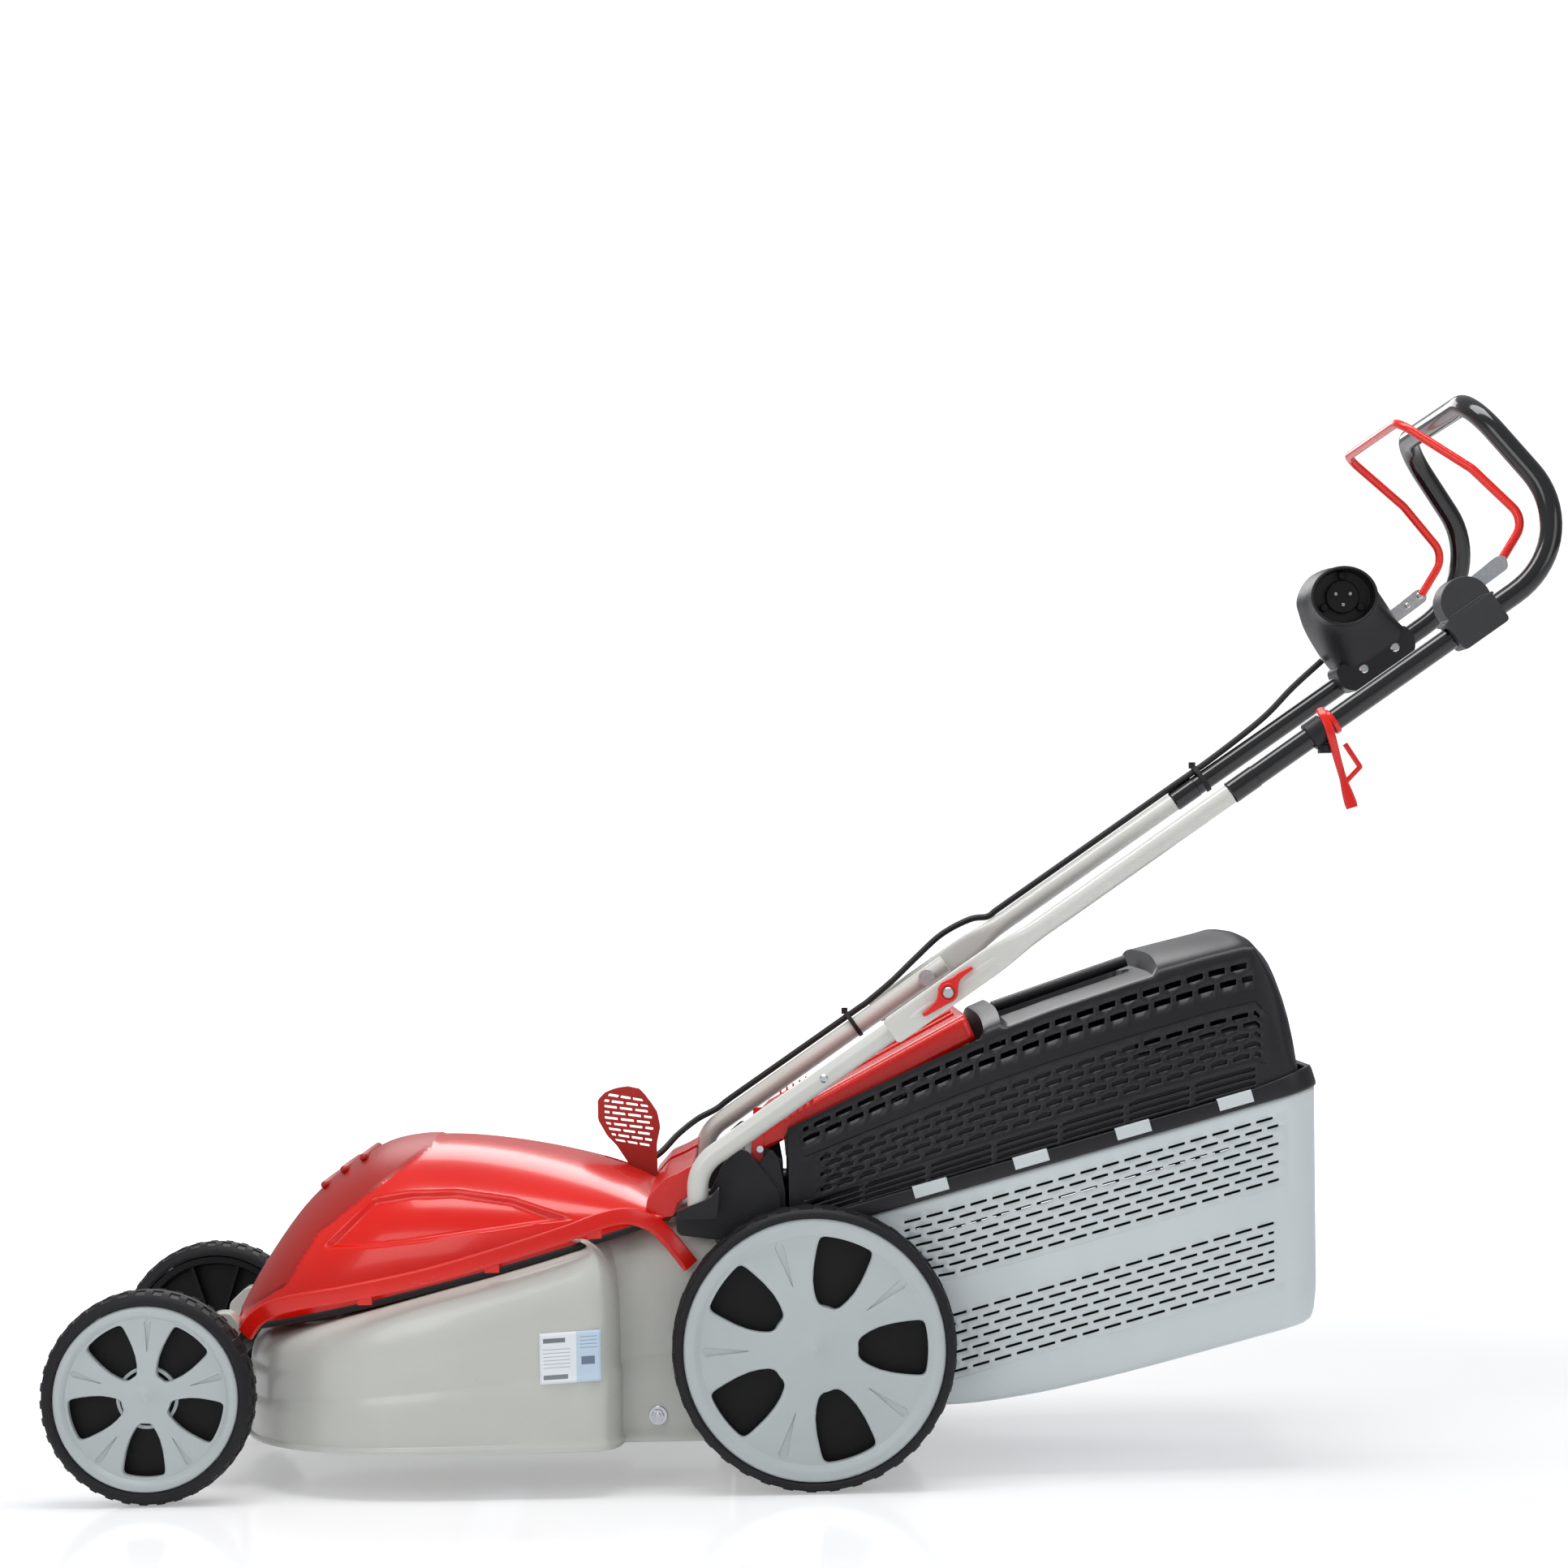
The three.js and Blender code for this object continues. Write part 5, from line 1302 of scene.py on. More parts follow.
foot = [on_handle(0, y, above)[1:] for y,
        above in ((612, -15.5), (676, -15.5), (684, -2), (682, 17), (606, 20), (602, -3))]
box_parts = [capped(np.array(rings)), slab(rounded(foot, 7, 6), -252, -190)]
switch = piece(
    "switch_housing", box_parts, box_black, "upper_handle",
    ["switch_box", "switch_cover"], 40,
)
soften(switch, 0.8)
inlet_parts = [cylinder_x(-175, -163.5, *INLET, 18.5, 40, 1.2)]
for k in range(3):
    spoke_turn = np.radians(90 + 120 * k)
    dy, dz = 23.5 * np.cos(spoke_turn), 23.5 * np.sin(spoke_turn)
    inlet_parts.append(cylinder_x(-172, -163.8, INLET[0] + dy, INLET[1] + dz, 4.4, 20, 0.8))
piece("inlet_core", inlet_parts, core_plastic, "upper_handle", ["inlet_socket"])
pins = []
for dy, dz in ((-8, 3), (8, 3), (0, -9)):
    pins.append(cylinder_x(-166, -160.5, INLET[0] + dy, INLET[1] + dz, 2.4, 16, 0.7))
piece("inlet_pins", pins, zinc, "upper_handle")
screws = []
for y, z in ((627, 820), (662, 843)):
    screws.append(cylinder_x(-193, -187.6, y, z, 5.2, 24, 1.2))
    screws.append(box_part((-188.4, y - 3.4, z - 0.6), (-187.3, y + 3.4, z + 0.6)))
piece("switch_screws", screws, zinc, "upper_handle")
refinish("start_button", trim_red)


# ---- Bail ----
# A sprung loop of red-coated wire, riveted at each end to a short zinc arm that turns in the switch box
# or the cap.
BAIL_X = 204.0
BAIL_PIVOT = (652.0, 868.0)
wire_red = finish("wire_red", (232, 32, 10), (220, 24, 7), 0.18, 0.3, 40, 0.00001, 0.04,
                  Coat_Weight=0.3)
BAIL_HALF = np.array([(BAIL_X, 695, 901, 0), (BAIL_X, 722, 944, 24), (184, 674, 998, 30),
                      (152, 607, 1050, 26)])
wire = np.concatenate([BAIL_HALF * [-1, 1, 1, 1], BAIL_HALF[::-1]])
piece("bail_loop", [tube(filled(bent(wire, 7.0), 30), 4.5, 18)], wire_red, "bail",
      ["bail_wire"])
for label, side in SIDES:
    arm = rounded([(645, 861), (651, 860), (672, 874), (703, 896), (700, 908), (691, 908), (668, 890),
                   (644, 874)], 5)
    near = side * (BAIL_X + 4.8)
    far = side * (BAIL_X + 7.3)
    arm_piece = piece(
        f"bail_arm_{label}",
        [
            slab(arm, near, far),
            cylinder_x(far, side * (CAP_INNER_X + 7), *BAIL_PIVOT, 4, 20),
            cylinder_x(near, side * (BAIL_X - 0.5), 694, 901, 4.0, 20, 1.2),
            cylinder_x(near, side * (BAIL_X - 0.5), 680, 890, 3.2, 20, 1.0),
            cylinder_x(side * (BAIL_X + 5.5), side * (BAIL_X + 3), *BAIL_PIVOT, 5.0, 20, 1.0),
        ],
        zinc, "bail", [f"bail_bracket_{label}"],
    )
    soften(arm_piece, 0.5)


# ---- Cord clamp and cord hook ----
# A black moulded collar screwed round the left-hand tube keeps the strain-relief hook from sliding
# down; the red hook swings on its own ring.
def collar(y, inner, outer, half, steps=40):
    """A ring round the left-hand upper tube, with rounded outer edges."""
    middle = on_handle(UPPER_X, y)
    turn = np.linspace(0, 2 * np.pi, steps, endpoint=False)[:, None]
    section = np.array([(inner, -half), (outer - 1, -half), (outer, -half + 1), (outer, half - 1),
                        (outer - 1, half), (inner, half)])
    radial = np.array((1.0, 0, 0)) * np.cos(turn) + ACROSS_HANDLE * np.sin(turn)
    grid = middle + section[:, :1] * radial[:, None] + section[:, 1:] * ALONG_HANDLE
    return skin(grid, True, True)


lug = on_handle(UPPER_X, 503, -17)
piece(
    "strain_clamp",
    [
        collar(505, 11.0, 14.6, 9.5),
        box_part(lug - [7, 6, 5], lug + [7, 6, 5]),
        cylinder_x(UPPER_X + 5, UPPER_X + 9, lug[1], lug[2], 3.2, 16, 0.8),
    ],
    housing_black, "upper_handle", ["cord_clamp"],
)
STRAP = [
    # X, Y, Z, half width
    (236, 508.5, 757.5, 4.2), (243, 510.5, 751, 4.2), (247.2, 514, 741, 4.2),
    (247.4, 517.2, 730.1, 4.2),
    (242, 520.9, 718.6, 4.0), (235.5, 525.7, 703.7, 3.6), (234, 530.0, 688.8, 3.6),
    (234, 533.5, 676, 5.2),
    (234, 536.6, 665.5, 6.0), (234, 538.0, 660.5, 5.6),
]
BARBS = [[(532.4, 723.4), (547.0, 700.2)], [(547.4, 701.4), (533.6, 687.4)]]


def hook_rib(path, wide):
    """A moulded rib with its broad way in the plane of the tube: wide is its half width at each point."""
    sections = oval(1, 1, 20, 4.0) * np.stack([np.broadcast_to(wide, len(path)),
                                               np.full(len(path), 2.6)], -1)[:, None]
    return capped(carried(path, sections, (1.0, 0, 0)))


strap = catmull(STRAP, 5)
ribs = [hook_rib(strap[:, :3], strap[:, 3])]
for barb in BARBS:
    line = filled(np.column_stack([np.full(2, UPPER_X), barb]), 5)
    ribs.append(hook_rib(line, 2.5))
piece(
    "strain_hook", [collar(520, 11.2, 13.2, 3.0)] + ribs, trim_red, "cord_hook",
    ["cord_hook"],
)


# ---- Motor cable ----
# A round black cable: out of the hood, up the right-hand socket and tube, in a free bow past the fold,
# and on along the black tube into the switch box. Two ties hold it.
CABLE_RADIUS = 3.5
CABLE_ABOVE = 15.1
sheath = finish("cable_sheath", (20, 20, 22), (14, 14, 16), 0.42, 0.58, 1500, 0.0001, 0.06)
LOWER_ROUTE = [
    (-120, -208, 284), (-120, -186, 291), (-132, -160, 304), (-165, -140, 322), (-200, -119, 336),
    (-213, -98, 346),
    on_handle(-215, -74, CABLE_ABOVE), on_handle(-215, -30, CABLE_ABOVE),
    on_handle(-215, 30, CABLE_ABOVE),
    on_handle(-215, 72, CABLE_ABOVE),
]
LOOP_ROUTE = [
    on_handle(-215, 72, CABLE_ABOVE), on_handle(-215, 80, CABLE_ABOVE), (-220, 100, 484),
    (-226, 126, 508),
    (-231, 156, 534), (-234, 188, 550), on_handle(-234, 216, CABLE_ABOVE),
    on_handle(-234, 226, CABLE_ABOVE),
]
UPPER_ROUTE = [
    on_handle(-234, 226, CABLE_ABOVE), on_handle(-234, 250, CABLE_ABOVE),
    on_handle(-234, 330, CABLE_ABOVE),
    on_handle(-234, 420, CABLE_ABOVE), on_handle(-234, 470, CABLE_ABOVE),
    on_handle(-234, 530, CABLE_ABOVE + 4),
    on_handle(-234, 570, CABLE_ABOVE + 13), (-234, 588, 832),
]


def cable(route):
    """A tube on a smooth curve through the route's points, with square ends."""
    return capped(carried(catmull(route, 8), oval(CABLE_RADIUS, CABLE_RADIUS, 16), (1.0, 0, 0)))


piece("cable_run_low", [cable(LOWER_ROUTE)], sheath, "chassis", ["cable_lower"])
bow = piece("cable_bow", [cable(LOOP_ROUTE)], sheath, None, ["cable_loop"])
tuple(in_frame(on_handle(-215, 76, CABLE_ABOVE)))
tuple(in_frame(on_handle(-234, 222, CABLE_ABOVE)))
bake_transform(bow)
piece("cable_run_high", [cable(UPPER_ROUTE)], sheath, "upper_handle", ["cable_upper"])


def tie(x, y, radius):
    """A cable tie: a thin band round tube and cable, with its square lock on top."""
    turn = np.linspace(0, 2 * np.pi, 44, endpoint=False)
    lift = np.clip(np.sin(turn), 0, 1) ** 3 * (CABLE_ABOVE + CABLE_RADIUS + 0.8 - radius)
    out = np.cos(turn)[:, None] * [1, 0, 0] + np.sin(turn)[:, None] * ACROSS_HANDLE
    ring = (radius + lift)[:, None] * out
    ring = ring + on_handle(x, y)
    outward = ring - on_handle(x, y)
    outward = outward / np.linalg.norm(outward, axis=1, keepdims=True)
    band = np.stack([
        ring - 2.4 * ALONG_HANDLE, ring - 2.4 * ALONG_HANDLE + 1.2 * outward,
        ring + 2.4 * ALONG_HANDLE + 1.2 * outward, ring + 2.4 * ALONG_HANDLE,
    ], 1)
    lock = on_handle(x, y, CABLE_ABOVE + CABLE_RADIUS + 3)
    return [skin(band, True, True), box_part(lock - 3.4, lock + 3.4)]


piece("tie_low", tie(-LOWER_X, 58, 10.9), gap_shade_and_tie_black, "chassis")
piece("tie_high", tie(-UPPER_X, 452, 11.8), gap_shade_and_tie_black, "upper_handle")


# ---- Height lever ----
# A red moulded paddle on a narrow stem that stands up through a slot in the hood. The paddle is pierced
# with short slots laid like bricks.
LEVER_X = (-63.0, -57.0)
PADDLE_LEFT = [(268, -182), (292, -187), (308, -194), (325, -212), (343, -222), (364, -222),
               (373, -213), (379, -199), (381, -190)]
PADDLE_RIGHT = [(268, -162), (292, -159), (308, -160), (325, -160), (343, -156), (359, -159),
                (370, -166), (377, -172), (381, -178)]
# The paddle's red is darker and duller than the other red mouldings: painted shade, as the lever stands
# in the hood's shadow.
lever_shaded_red = finish("lever_shaded_red", (182, 42, 30), (166, 33, 22), 0.3, 0.42, 900, 0.0003, 0.04)


def brick_steps(start, count, pitch, slot):
    """Edges of staggered slots: each pitch is cut where a slot of either row starts or ends."""
    ends = sorted([0.0, slot - pitch / 2, pitch / 2, slot])
    edges = (start + np.arange(count)[:, None] * pitch + np.array(ends)).ravel()
    return np.concatenate([edges, [start + count * pitch]])


def brick_open(middle, row, start, pitch, slot):
    """Whether a cell's middle lies in a slot, where odd rows are moved on by half a pitch."""
    phase = np.mod(middle - start - np.where(row % 2 == 1, pitch / 2, 0.0), pitch)
    return phase < slot


def pierced_paddle():
    """A warped grid between the paddle's two edges; the rows lean, and slot cells are left out."""
    row_edges = [268, 285, 302, 316]
    row_count = 9
    first, pitch, slot_height = 321.0, 6.0, 2.6
    for k in range(row_count):
        row_edges += [first + k * pitch, first + k * pitch + slot_height]
    row_edges += [376, 379, 381]
    z = np.array(row_edges)
    share = np.concatenate([[0, 0.07], 0.11 + 0.78 * brick_steps(0, 3, 1 / 3, 0.27), [0.93, 1.0]])
    left = np.interp(z, *np.array(PADDLE_LEFT).T)
    right = np.interp(z, *np.array(PADDLE_RIGHT).T)
    y = left[:, None] + (right - left)[:, None] * share
    lean = np.clip((z - 300) / 20, 0, 1) * np.clip((384 - z) / 10, 0, 1)
    high = z[:, None] - (share - 0.5) * 9.0 * lean[:, None]
    grid = np.stack([np.full_like(y, sum(LEVER_X) / 2), y, high], -1)
    middle_share = (share[:-1] + share[1:]) / 2
    middle_z = (z[:-1] + z[1:]) / 2
    row = np.floor((middle_z - first) / pitch).astype(int)
    in_row = (np.mod(middle_z - first, pitch) < slot_height) & (row >= 0) & (row < row_count)
    inside = (middle_share > 0.11) & (middle_share < 0.89)
    phase = brick_open((middle_share - 0.11) / 0.78, row[:, None], 0, 1 / 3, 0.27)
    return skin(grid, keep=~(in_row[:, None] & inside & phase))


paddle = piece("height_paddle", [pierced_paddle()], lever_shaded_red, "height_lever",
               ["height_lever"])
wall = paddle.modifiers.new("wall", "SOLIDIFY")
wall.thickness = 0.0055
wall.offset = 0.0
soften(paddle, 0.5, 1, 50)


# ---- Rear flap ----
# A red moulded guard hinged over the chute, whose tail rests on the catcher's lid. Its skirts reach
# down at the sides, and short ribs stiffen it beside the hinge.
FLAP_HALF = 165.0
flap_red = finish("flap_red", (220, 26, 12), (206, 20, 8), 0.2, 0.34, 300, 0.00005, 0.05,
                  Coat_Weight=0.2)


def flap_sheet():
    """Stations from hinge to tail, each a skirt, a small rounded corner and the flat top between them."""
    station = np.linspace(0, 1, 30)
    top_y = np.interp(station, [0, 0.06, 1], [-56, -42, 157])
    top_z = np.interp(station, [0, 0.06, 1], [340, 357.5, 462])
    low_y = np.interp(station, [0, 0.06, 1], [-50, -38, 168])
    low_z = np.interp(station, [0, 0.06, 1], [330, 334, 437])
    bend = np.radians(np.linspace(0, 90, 7))
    corner = 9.0
    across = np.concatenate([[FLAP_HALF] * 4, FLAP_HALF - corner + corner * np.cos(bend),
                             [100, 60, 20, 0]])
    fall = np.concatenate([[1, 0.8, 0.6, 0.45], 0.30 * (1 - np.sin(bend)), [0, 0, 0, 0]])
    across = np.concatenate([across, -across[-2::-1]])
    fall = np.concatenate([fall, fall[-2::-1]])
    y = top_y[:, None] + (low_y - top_y)[:, None] * fall
    z = top_z[:, None] + (low_z - top_z)[:, None] * fall
    return skin(np.stack([np.broadcast_to(across, y.shape), y, z], -1))


flap = piece("flap_sheet", [flap_sheet()], flap_red, "rear_flap", ["rear_flap"], 40)
thicken(flap, 3.0)
flap_ribs = []
for _, side in SIDES:
    for k in range(5):
        y = -28 + 7.0 * k
        z = 357.5 + (y + 42) * 0.525
        middle = side * (FLAP_HALF - 6)
        flap_ribs.append(slab([(y, z - 24), (y + 2.2, z - 24), (y + 2.2, z + 3.5), (y, z + 3.5)],
                              middle - 6.5, middle + 6.5))
    flap_ribs.append(slab([(-60, 319), (-47, 319), (-46, 350), (-57, 350)], side * 158, side * 166))
for k in range(4):
    x = -90 + 60 * k
    rib_line = np.array([(x, -26, 366.5), (x, 150, 459.5)])
    flap_ribs.append(capped(carried(filled(rib_line, 12), oval(2.2, 2.0, 12))))
piece("flap_ribs", flap_ribs, flap_red, "rear_flap")


# ---- Catcher tub ----
# A light grey moulded tub, pierced on both flanks by two bands of short slots laid like bricks. The
# bands run parallel to the rim, and the rear corners and the floor's edges are rounded.
CATCHER_FRONT_Y = -22.0
CATCHER_REAR_Y = 507.0
RIM_SLOPE = 0.266
TUB_HALF_TOP = 188.0
TUB_HALF_LOW = 172.0
TUB_CORNER = 34.0
SLOT_PITCH = 22.0
SLOT_LENGTH = 16.5
SLOT_FIRST_Y = 92.0
TUB_FLOOR = np.array([
    (-22, 168), (8, 118), (52, 80), (129, 71), (212, 79), (284, 93), (356, 110), (447, 133),
    (482, 142), (497, 147),
    (504, 154), (507, 170),
])
TUB_BANDS = [
    # first row's depth below the rim, rows, row pitch, first and last Y
    (17.0, 8, 9.0, 92.0, 466.0),
    (122.0, 7, 9.4, 134.0, 462.0),
]
SLOT_HEIGHT = 2.6
tub_plastic = finish("tub_moulding", (212, 219, 221), (203, 211, 214), 0.3, 0.42, 1100, 0.0001, 0.05)
# The tub's inner faces and the slots' cut edges are a darker grey: painted shade, so that the inside and
# the slots read dark.
tub_inner_shade = finish("tub_inner_shade", (66, 66, 62), (48, 49, 44), 0.6, 0.8, 500, 0.0002, 0.1)


def rim_z(y):
    """Height of the tub's rim."""
    return 250.0 + RIM_SLOPE * y


def plan_half(y, half, corner, rear):
    """Half width of a plan whose rear corners are quarter circles that end at y = rear."""
    into = np.clip(y - (rear - corner), 0, corner)
    return half - corner + np.sqrt(np.maximum(corner ** 2 - into ** 2, 0))


def tub_rows():
    """Depths below the rim where the flank's grid has a line: both edges of each slot row and band."""
    depths = [0.0, 5.0]
    for first, rows, pitch, _, _ in TUB_BANDS:
        depths += [first - 8.0, first - 6.5]
        for k in range(rows):
            depths += [first + k * pitch, first + k * pitch + SLOT_HEIGHT]
        depths += [first + (rows - 1) * pitch + SLOT_HEIGHT + 5.5,
                   first + (rows - 1) * pitch + SLOT_HEIGHT + 7.0]
    return np.array(depths)


def tub_shell():
    """Stations along Y; each runs down the left flank, round the floor and up the right flank."""
    bricks = brick_steps(SLOT_FIRST_Y, 17, SLOT_PITCH, SLOT_LENGTH)
    front = [-22, -21, -14, 0, 16, 34, 52, 70, 80, 86]
    rear = [473, 475, 480, 486, 492, 497, 501, 504, 506, 507]
    station = np.concatenate([front, bricks, rear])
    rows = tub_rows()
    floor_z = smooth_along(TUB_FLOOR, station)
    height = rim_z(station) - floor_z
    squeeze = np.minimum(1.0, (height - 24.0) / (rows[-1] + 4.0))
    depth = rows[None, :] * squeeze[:, None]
    flank_z = rim_z(station)[:, None] - depth
    half_top = plan_half(station, TUB_HALF_TOP, TUB_CORNER, CATCHER_REAR_Y)
    taper = (TUB_HALF_TOP - TUB_HALF_LOW) / 215.0
    pressed = np.zeros_like(depth)
    for first, count, pitch, y_from, y_to in TUB_BANDS:
        low, high = first - 7.2, first + (count - 1) * pitch + SLOT_HEIGHT + 6.2
        in_rows = (rows > low) & (rows < high)
        pressed += in_rows[None, :] * ((station > y_from - 8) & (station < y_to + 8))[:, None] * 1.4
    flank_x = half_top[:, None] - depth * taper - pressed
    last_depth = depth[:, -1:]
    bend = np.radians(np.linspace(0, 90, 9))[1:]
    left = flank_z[:, -1:] - floor_z[:, None]
    round_z = floor_z[:, None] + left * (1 - np.sin(bend))
    low_half = half_top[:, None] - last_depth * taper
    reach = np.minimum(left, 26.0)
    round_x = low_half - reach * (1 - np.cos(bend))
    floor_x = round_x[:, -1:] * np.array([0.75, 0.5, 0.25])
    x = np.concatenate([flank_x, round_x, floor_x, 0 * station[:, None]], 1)
    z = np.concatenate([flank_z, round_z, np.repeat(floor_z[:, None], 4, 1)], 1)
    x = np.concatenate([x, -x[:, -2::-1]], 1)
    z = np.concatenate([z, z[:, -2::-1]], 1)
    y = np.broadcast_to(station[:, None], x.shape)
    grid = np.stack([x, y, z], -1)

    count = len(rows)
    mid_y = (station[:-1] + station[1:]) / 2
    mid_row = (rows[:-1] + rows[1:]) / 2
    slots = np.zeros((len(mid_y), x.shape[1] - 1), bool)
    for first, row_count, pitch, y_from, y_to in TUB_BANDS:
        row = np.floor((mid_row - first) / pitch).astype(int)
        in_row = (row >= 0) & (row < row_count) & (np.mod(mid_row - first, pitch) < SLOT_HEIGHT)
        for k in np.nonzero(in_row)[0]:
            open_cells = brick_open(mid_y, row[k], SLOT_FIRST_Y, SLOT_PITCH,
                                    SLOT_LENGTH) & (mid_y > y_from) & (mid_y < y_to)
            slots[:, k] |= open_cells
            slots[:, -1 - k] |= open_cells
    parts = [skin(grid, keep=~slots)]
    last = grid[-1]
    half_count = len(last) // 2
    wall = np.stack([last[:half_count + 1], last[::-1][:half_count + 1]], 1)
    steps = np.linspace(0, 1, 7)[None, :, None]
    parts.append(skin(wall[:, :1] * (1 - steps) + wall[:, 1:] * steps))
    first_ring = grid[0]
    wall = np.stack([first_ring[:half_count + 1], first_ring[::-1][:half_count + 1]], 1)
    edge_share = (TUB_HALF_TOP - 152.0) / (2 * TUB_HALF_TOP)
    steps = np.array([0, edge_share, 0.5, 1 - edge_share, 1])[None, :, None]
    front_wall = wall[:, :1] * (1 - steps) + wall[:, 1:] * steps
    keep = np.ones((front_wall.shape[0] - 1, 4), bool)
    mid_z = (front_wall[:-1, 0, 2] + front_wall[1:, 0, 2]) / 2
    keep[:, 1:3] = (mid_z < CHUTE_LOW + 18)[:, None]
    parts.append(skin(front_wall, keep=keep))
    return parts


tub = piece("tub_shell", tub_shell(), [tub_plastic, tub_inner_shade], "catcher",
            ["catcher_tub"], 45)
thicken(tub, 2.6)
# The wall's inner shell and its cut edges take the darker grey of painted shade.
tub.modifiers["wall"].material_offset = 1
tub.modifiers["wall"].material_offset_rim = 1


# ---- Catcher lid ----
# An anthracite moulded lid. Its flanks arch from the straight rim up to a shoulder, with louvres above
# the rim, a band of five slot rows and a band of two, all fanned out between rim and shoulder. The roof
# has a recess under the grip.
LID_HALF_LOW = 186.5
LID_HALF_HIGH = 181.0
LID_CORNER = 30.0
GRIP_Y = (200.0, 332.0)
RECESS_HALF = 58.0
RECESS_DEPTH = 32.0
SHOULDER = np.array([
    (-22, 352), (-13, 357), (60, 390), (110, 412), (167, 436), (178, 440), (244, 464), (321, 488),
    (398, 510),
    (430, 517), (446, 520), (456, 500), (464, 480), (472, 455), (480, 428), (488, 402),
])
ROOF = np.array([
    (-22, 322), (60, 366), (166, 422), (171, 424), (175, 459), (178, 461), (195, 468), (342, 516),
    (420, 534), (434, 538),
    (440, 538), (450, 531), (462, 520), (468, 512), (472, 502), (478, 486), (484, 464), (489, 404),
])
LID_BANDS = [
    # first row's share of the flank, rows, row pitch, slot height, first and last Y
    (0.285, 5, 0.070, 0.030, 12.0, 452.0),
    (0.800, 2, 0.095, 0.040, -8.0, 444.0),
]
LOUVRES = (0.045, 4, 0.048, 0.022, 0.0, 452.0)
lid_plastic = finish(
    "lid_moulding", (30, 29, 33), (22, 21, 25), 0.3, 0.42, 1100, 0.0003, 0.08, Specular_Ior_Level=0.4,
)


def lid_shell():
    """Stations along Y; each runs up the left flank, over the roof and down the right flank."""
    start = -18.0
    bricks = brick_steps(start, 21, SLOT_PITCH, SLOT_LENGTH)
    station = np.unique(np.concatenate([[-22], bricks,
                                        [166, 171, 175, 178, 192, 200, 332, 345, 350, 446, 450, 454,
                                         458, 462, 466, 470, 474, 478, 482, 485, 487, 488.5]]))
    station = station[(station <= 446) | (station >= 450)]
    shares = [0.0, 0.022]
    first, count, pitch, gap = LOUVRES[:4]
    for k in range(count):
        shares += [first + k * pitch, first + k * pitch + gap]
    shares += [0.245, 0.252]
    first, count, pitch, gap = LID_BANDS[0][:4]
    for k in range(count):
        shares += [first + k * pitch, first + k * pitch + gap]
    shares += [0.655, 0.665, 0.72]
    first, count, pitch, gap = LID_BANDS[1][:4]
    for k in range(count):
        shares += [first + k * pitch, first + k * pitch + gap]
    shares += [0.975, 1.0]
    shares = np.array(sorted(shares))
    shoulder = np.interp(station, *SHOULDER.T)
    roof = np.interp(station, *ROOF.T)
    low = rim_z(station) + 6.0
    fade = np.clip((488.5 - station) / 30.0, 0, 1)
    half_low = plan_half(station, LID_HALF_LOW, LID_CORNER, 498.0)
    half_high = plan_half(station, LID_HALF_HIGH, LID_CORNER, 498.0)
    z = low[:, None] + (shoulder - low)[:, None] * shares
    bow = 3.0 * np.sin(np.pi * shares)
    x = half_low[:, None] + (half_high - half_low)[:, None] * shares + bow
    panel = ((shares > 0.248) & (shares < 0.66))[None, :] & ((station > -2) & (station < 458))[:, None]
    x = x - 1.8 * panel
    cross = np.array([0.986, 0.972, 0.955, 0.93, 0.895, 0.84, 0.76, 0.66, 0.55, 0.44])
    roof_x = half_high[:, None] * cross
    grip_lines = np.array([RECESS_HALF, 30.0, 0.0])
    narrowing = np.minimum(1, half_high / 150)[:, None]
    grip_x = np.repeat(grip_lines[None, :], len(station), 0) * narrowing
    roof_x = np.concatenate([roof_x, grip_x], 1)
    share = np.clip(roof_x / half_high[:, None], 0, 1)
    crown = (1 - share ** 3.4) ** (1 / 2.2)
    domed = shoulder[:, None] + (roof - shoulder)[:, None] * crown
    dip = np.clip((station - 192) / 6, 0, 1) * np.clip((350 - station) / 5, 0, 1)
    domed = domed - (roof - shoulder)[:, None] * 0.72 * crown * dip[:, None]
    sunk = roof[:, None] + (shoulder - roof)[:, None] * np.clip((roof_x - 168) / 6.0, 0, 1)
    roof_z = np.where(station[:, None] < 172.5, sunk, domed)
    x = np.concatenate([x, roof_x], 1)
    z = np.concatenate([z, roof_z], 1)
    x = np.concatenate([x, -x[:, -2::-1]], 1)
    z = np.concatenate([z, z[:, -2::-1]], 1)
    grid = np.stack([x, np.broadcast_to(station[:, None], x.shape), z], -1)

    mid_y = (station[:-1] + station[1:]) / 2
    mid_share = (shares[:-1] + shares[1:]) / 2
    gone = np.zeros((len(mid_y), x.shape[1] - 1), bool)
    for band, (first, count, pitch, gap, y_from, y_to) in enumerate(LID_BANDS):
        row = np.floor((mid_share - first) / pitch).astype(int)
        in_row = (row >= 0) & (row < count) & (np.mod(mid_share - first, pitch) < gap)
        for k in np.nonzero(in_row)[0]:
            open_cells = brick_open(mid_y, row[k] + band, start, SLOT_PITCH,
                                    SLOT_LENGTH) & (mid_y > y_from) & (mid_y < y_to)
            gone[:, k] |= open_cells
            gone[:, -1 - k] |= open_cells
    first, count, pitch, gap, y_from, y_to = LOUVRES
    row = np.floor((mid_share - first) / pitch).astype(int)
    in_row = (row >= 0) & (row < count) & (np.mod(mid_share - first, pitch) < gap)
    for k in np.nonzero(in_row)[0]:
        open_cells = (np.mod(mid_y - start, 3 * SLOT_PITCH) > 6.0) & (mid_y > y_from) & (mid_y < y_to)
        gone[:, k] |= open_cells
        gone[:, -1 - k] |= open_cells
    middle = (grid[:-1, :-1] + grid[1:, 1:]) / 2
    within = (middle[..., 1] > GRIP_Y[0]) & (middle[..., 1] < GRIP_Y[1])
    gone |= (np.abs(middle[..., 0]) < RECESS_HALF) & within & (middle[..., 2] > 420)
    parts = [skin(grid, keep=~gone)]
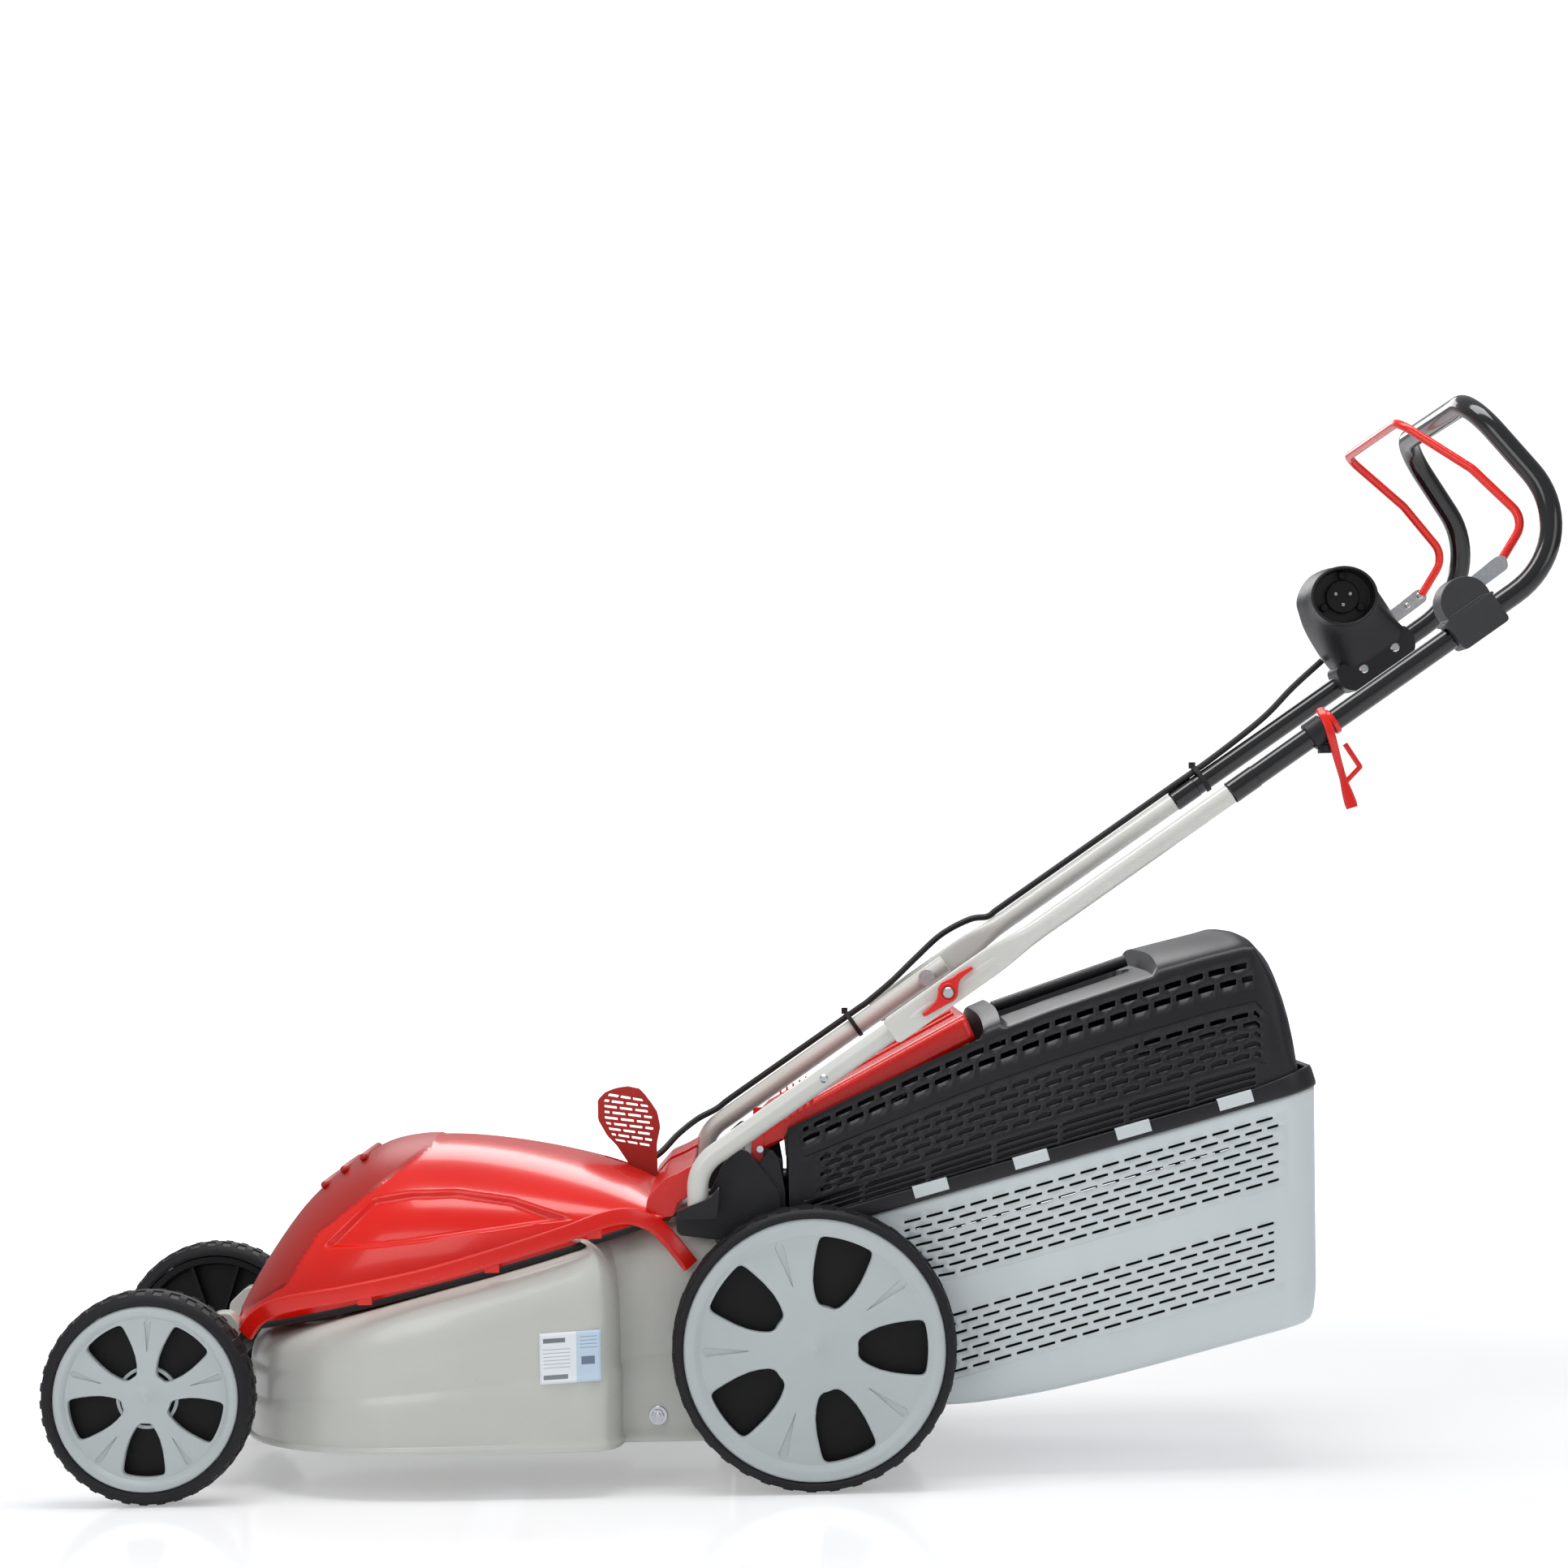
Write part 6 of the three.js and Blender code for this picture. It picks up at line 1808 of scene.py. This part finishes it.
    # Dark sheets 5 mm inside the slotted bands close the slots from behind: painted shade, standing in
    # for the dark inside of the catcher.
    lined = (shares > 0.02) & (shares < 0.552)
    behind = grid[(station > 4) & (station < 458)][:, :len(shares)][:, lined] - [5.0, 0, 0]
    lined = (shares > 0.5) & (shares < 0.66)
    ahead = grid[(station > 4) & (station < 330)][:, :len(shares)][:, lined] - [5.0, 0, 0]
    parts += [skin(behind), skin(behind * [-1, 1, 1]), skin(ahead), skin(ahead * [-1, 1, 1])]
    for ring in (grid[-1], grid[0]):
        half_count = len(ring) // 2
        pairs = np.stack([ring[:half_count + 1], ring[::-1][:half_count + 1]], 1)
        steps = np.array([0, 0.1, 0.3, 0.5, 0.7, 0.9, 1.0])[None, :, None]
        wall = pairs[:, :1] * (1 - steps) + pairs[:, 1:] * steps
        keep = np.ones((wall.shape[0] - 1, 6), bool)
        if ring is grid[0] or ring[0, 1] < 0:
            keep[:, 1:5] = ((wall[:-1, 3, 2] + wall[1:, 3, 2]) / 2 > 262)[:, None]
        parts.append(skin(wall, keep=keep))
    return parts


lid = piece("lid_shell", lid_shell(), lid_plastic, "catcher", ["catcher_lid"], 40)
thicken(lid, 2.6)


def roof_z(y):
    """Height of the lid's roof."""
    return np.interp(y, *ROOF.T)


def grip_pan():
    """The recess: a rounded tray hung from the roof's opening."""
    depth = np.array([0.5, -1.0, -3.0, -RECESS_DEPTH + 4, -RECESS_DEPTH + 1, -RECESS_DEPTH,
                      -RECESS_DEPTH])
    draw = np.array([0.0, 0.3, 1.2, 2.5, 4.5, 9.0, 24.0])
    rings = []
    shoulder = np.interp(GRIP_Y[0], *SHOULDER.T)
    lip = float(shoulder + 0.28 * (roof_z(GRIP_Y[0]) - shoulder)) - roof_z(GRIP_Y[0])
    for down, inward in zip(depth, draw):
        plan = rounded([
            (-RECESS_HALF + inward, GRIP_Y[0] + inward), (RECESS_HALF - inward, GRIP_Y[0] + inward),
            (RECESS_HALF - inward, GRIP_Y[1] - inward), (-RECESS_HALF + inward, GRIP_Y[1] - inward),
        ], 7, 5)
        rings.append(np.column_stack([plan, roof_z(plan[:, 1]) + lip + down]))
    verts, faces = skin(np.array(rings), False, True)
    count = len(rings[0])
    faces.append(tuple(range((len(rings) - 1) * count, len(rings) * count)))
    return verts, faces


pan = piece("grip_pan", [grip_pan()], lid_plastic, "catcher")
thicken(pan, 1.8, False)

# The rim band: a dark moulded rail that clips over the tub's edge, with four light tabs on each flank.
RIM_HALF = 194.0


def rim_rail():
    """A rounded section carried round the rim's plan, deeper towards the rear."""
    corner = 36.0
    turn = np.radians(np.linspace(0, 90, 10))
    arc = np.stack([RIM_HALF - 4 - corner + corner * np.cos(turn),
                    CATCHER_REAR_Y - 4 - corner + corner * np.sin(turn)], -1)
    side_y = np.linspace(CATCHER_FRONT_Y + 1, CATCHER_REAR_Y - 6 - corner, 24)
    side_line = np.stack([np.full(24, RIM_HALF - 4), side_y], -1)
    plan = np.concatenate([side_line, arc, arc[::-1] * [-1, 1], side_line[::-1] * [-1, 1]])
    high = 15.0 + 6.0 * np.clip((plan[:, 1] - 430) / 60, 0, 1)
    path = np.column_stack([plan, rim_z(plan[:, 1]) + high / 2])
    sections = np.array([oval(3.8, half, 20, 5.0) for half in high / 2])
    return capped(carried(path, sections))


piece("rim_rail", [rim_rail()], lid_plastic, "catcher")
light_tabs = []
for _, side in SIDES:
    for y in (118.5, 218.5, 320.5, 422.5):
        line = np.array([(side * 192.5, y - 17, rim_z(y - 17) + 10.5),
                         (side * 192.5, y + 17, rim_z(y + 17) + 10.5)])
        light_tabs.append(capped(carried(filled(line, 5), oval(3.4, 6.2, 20, 6.0))))
piece("rim_tabs", light_tabs, tub_plastic, "catcher")

# The grip bridges the recess: a rounded bar.
grip_line = np.array([(0, y, roof_z(y) - 6.5) for y in np.linspace(GRIP_Y[0] - 4, GRIP_Y[1] + 4, 26)])
piece("grip_handle", [capped(carried(grip_line, oval(14.5, 6.0, 28, 3.2)))], housing_black, "catcher",
      ["catcher_grip"])
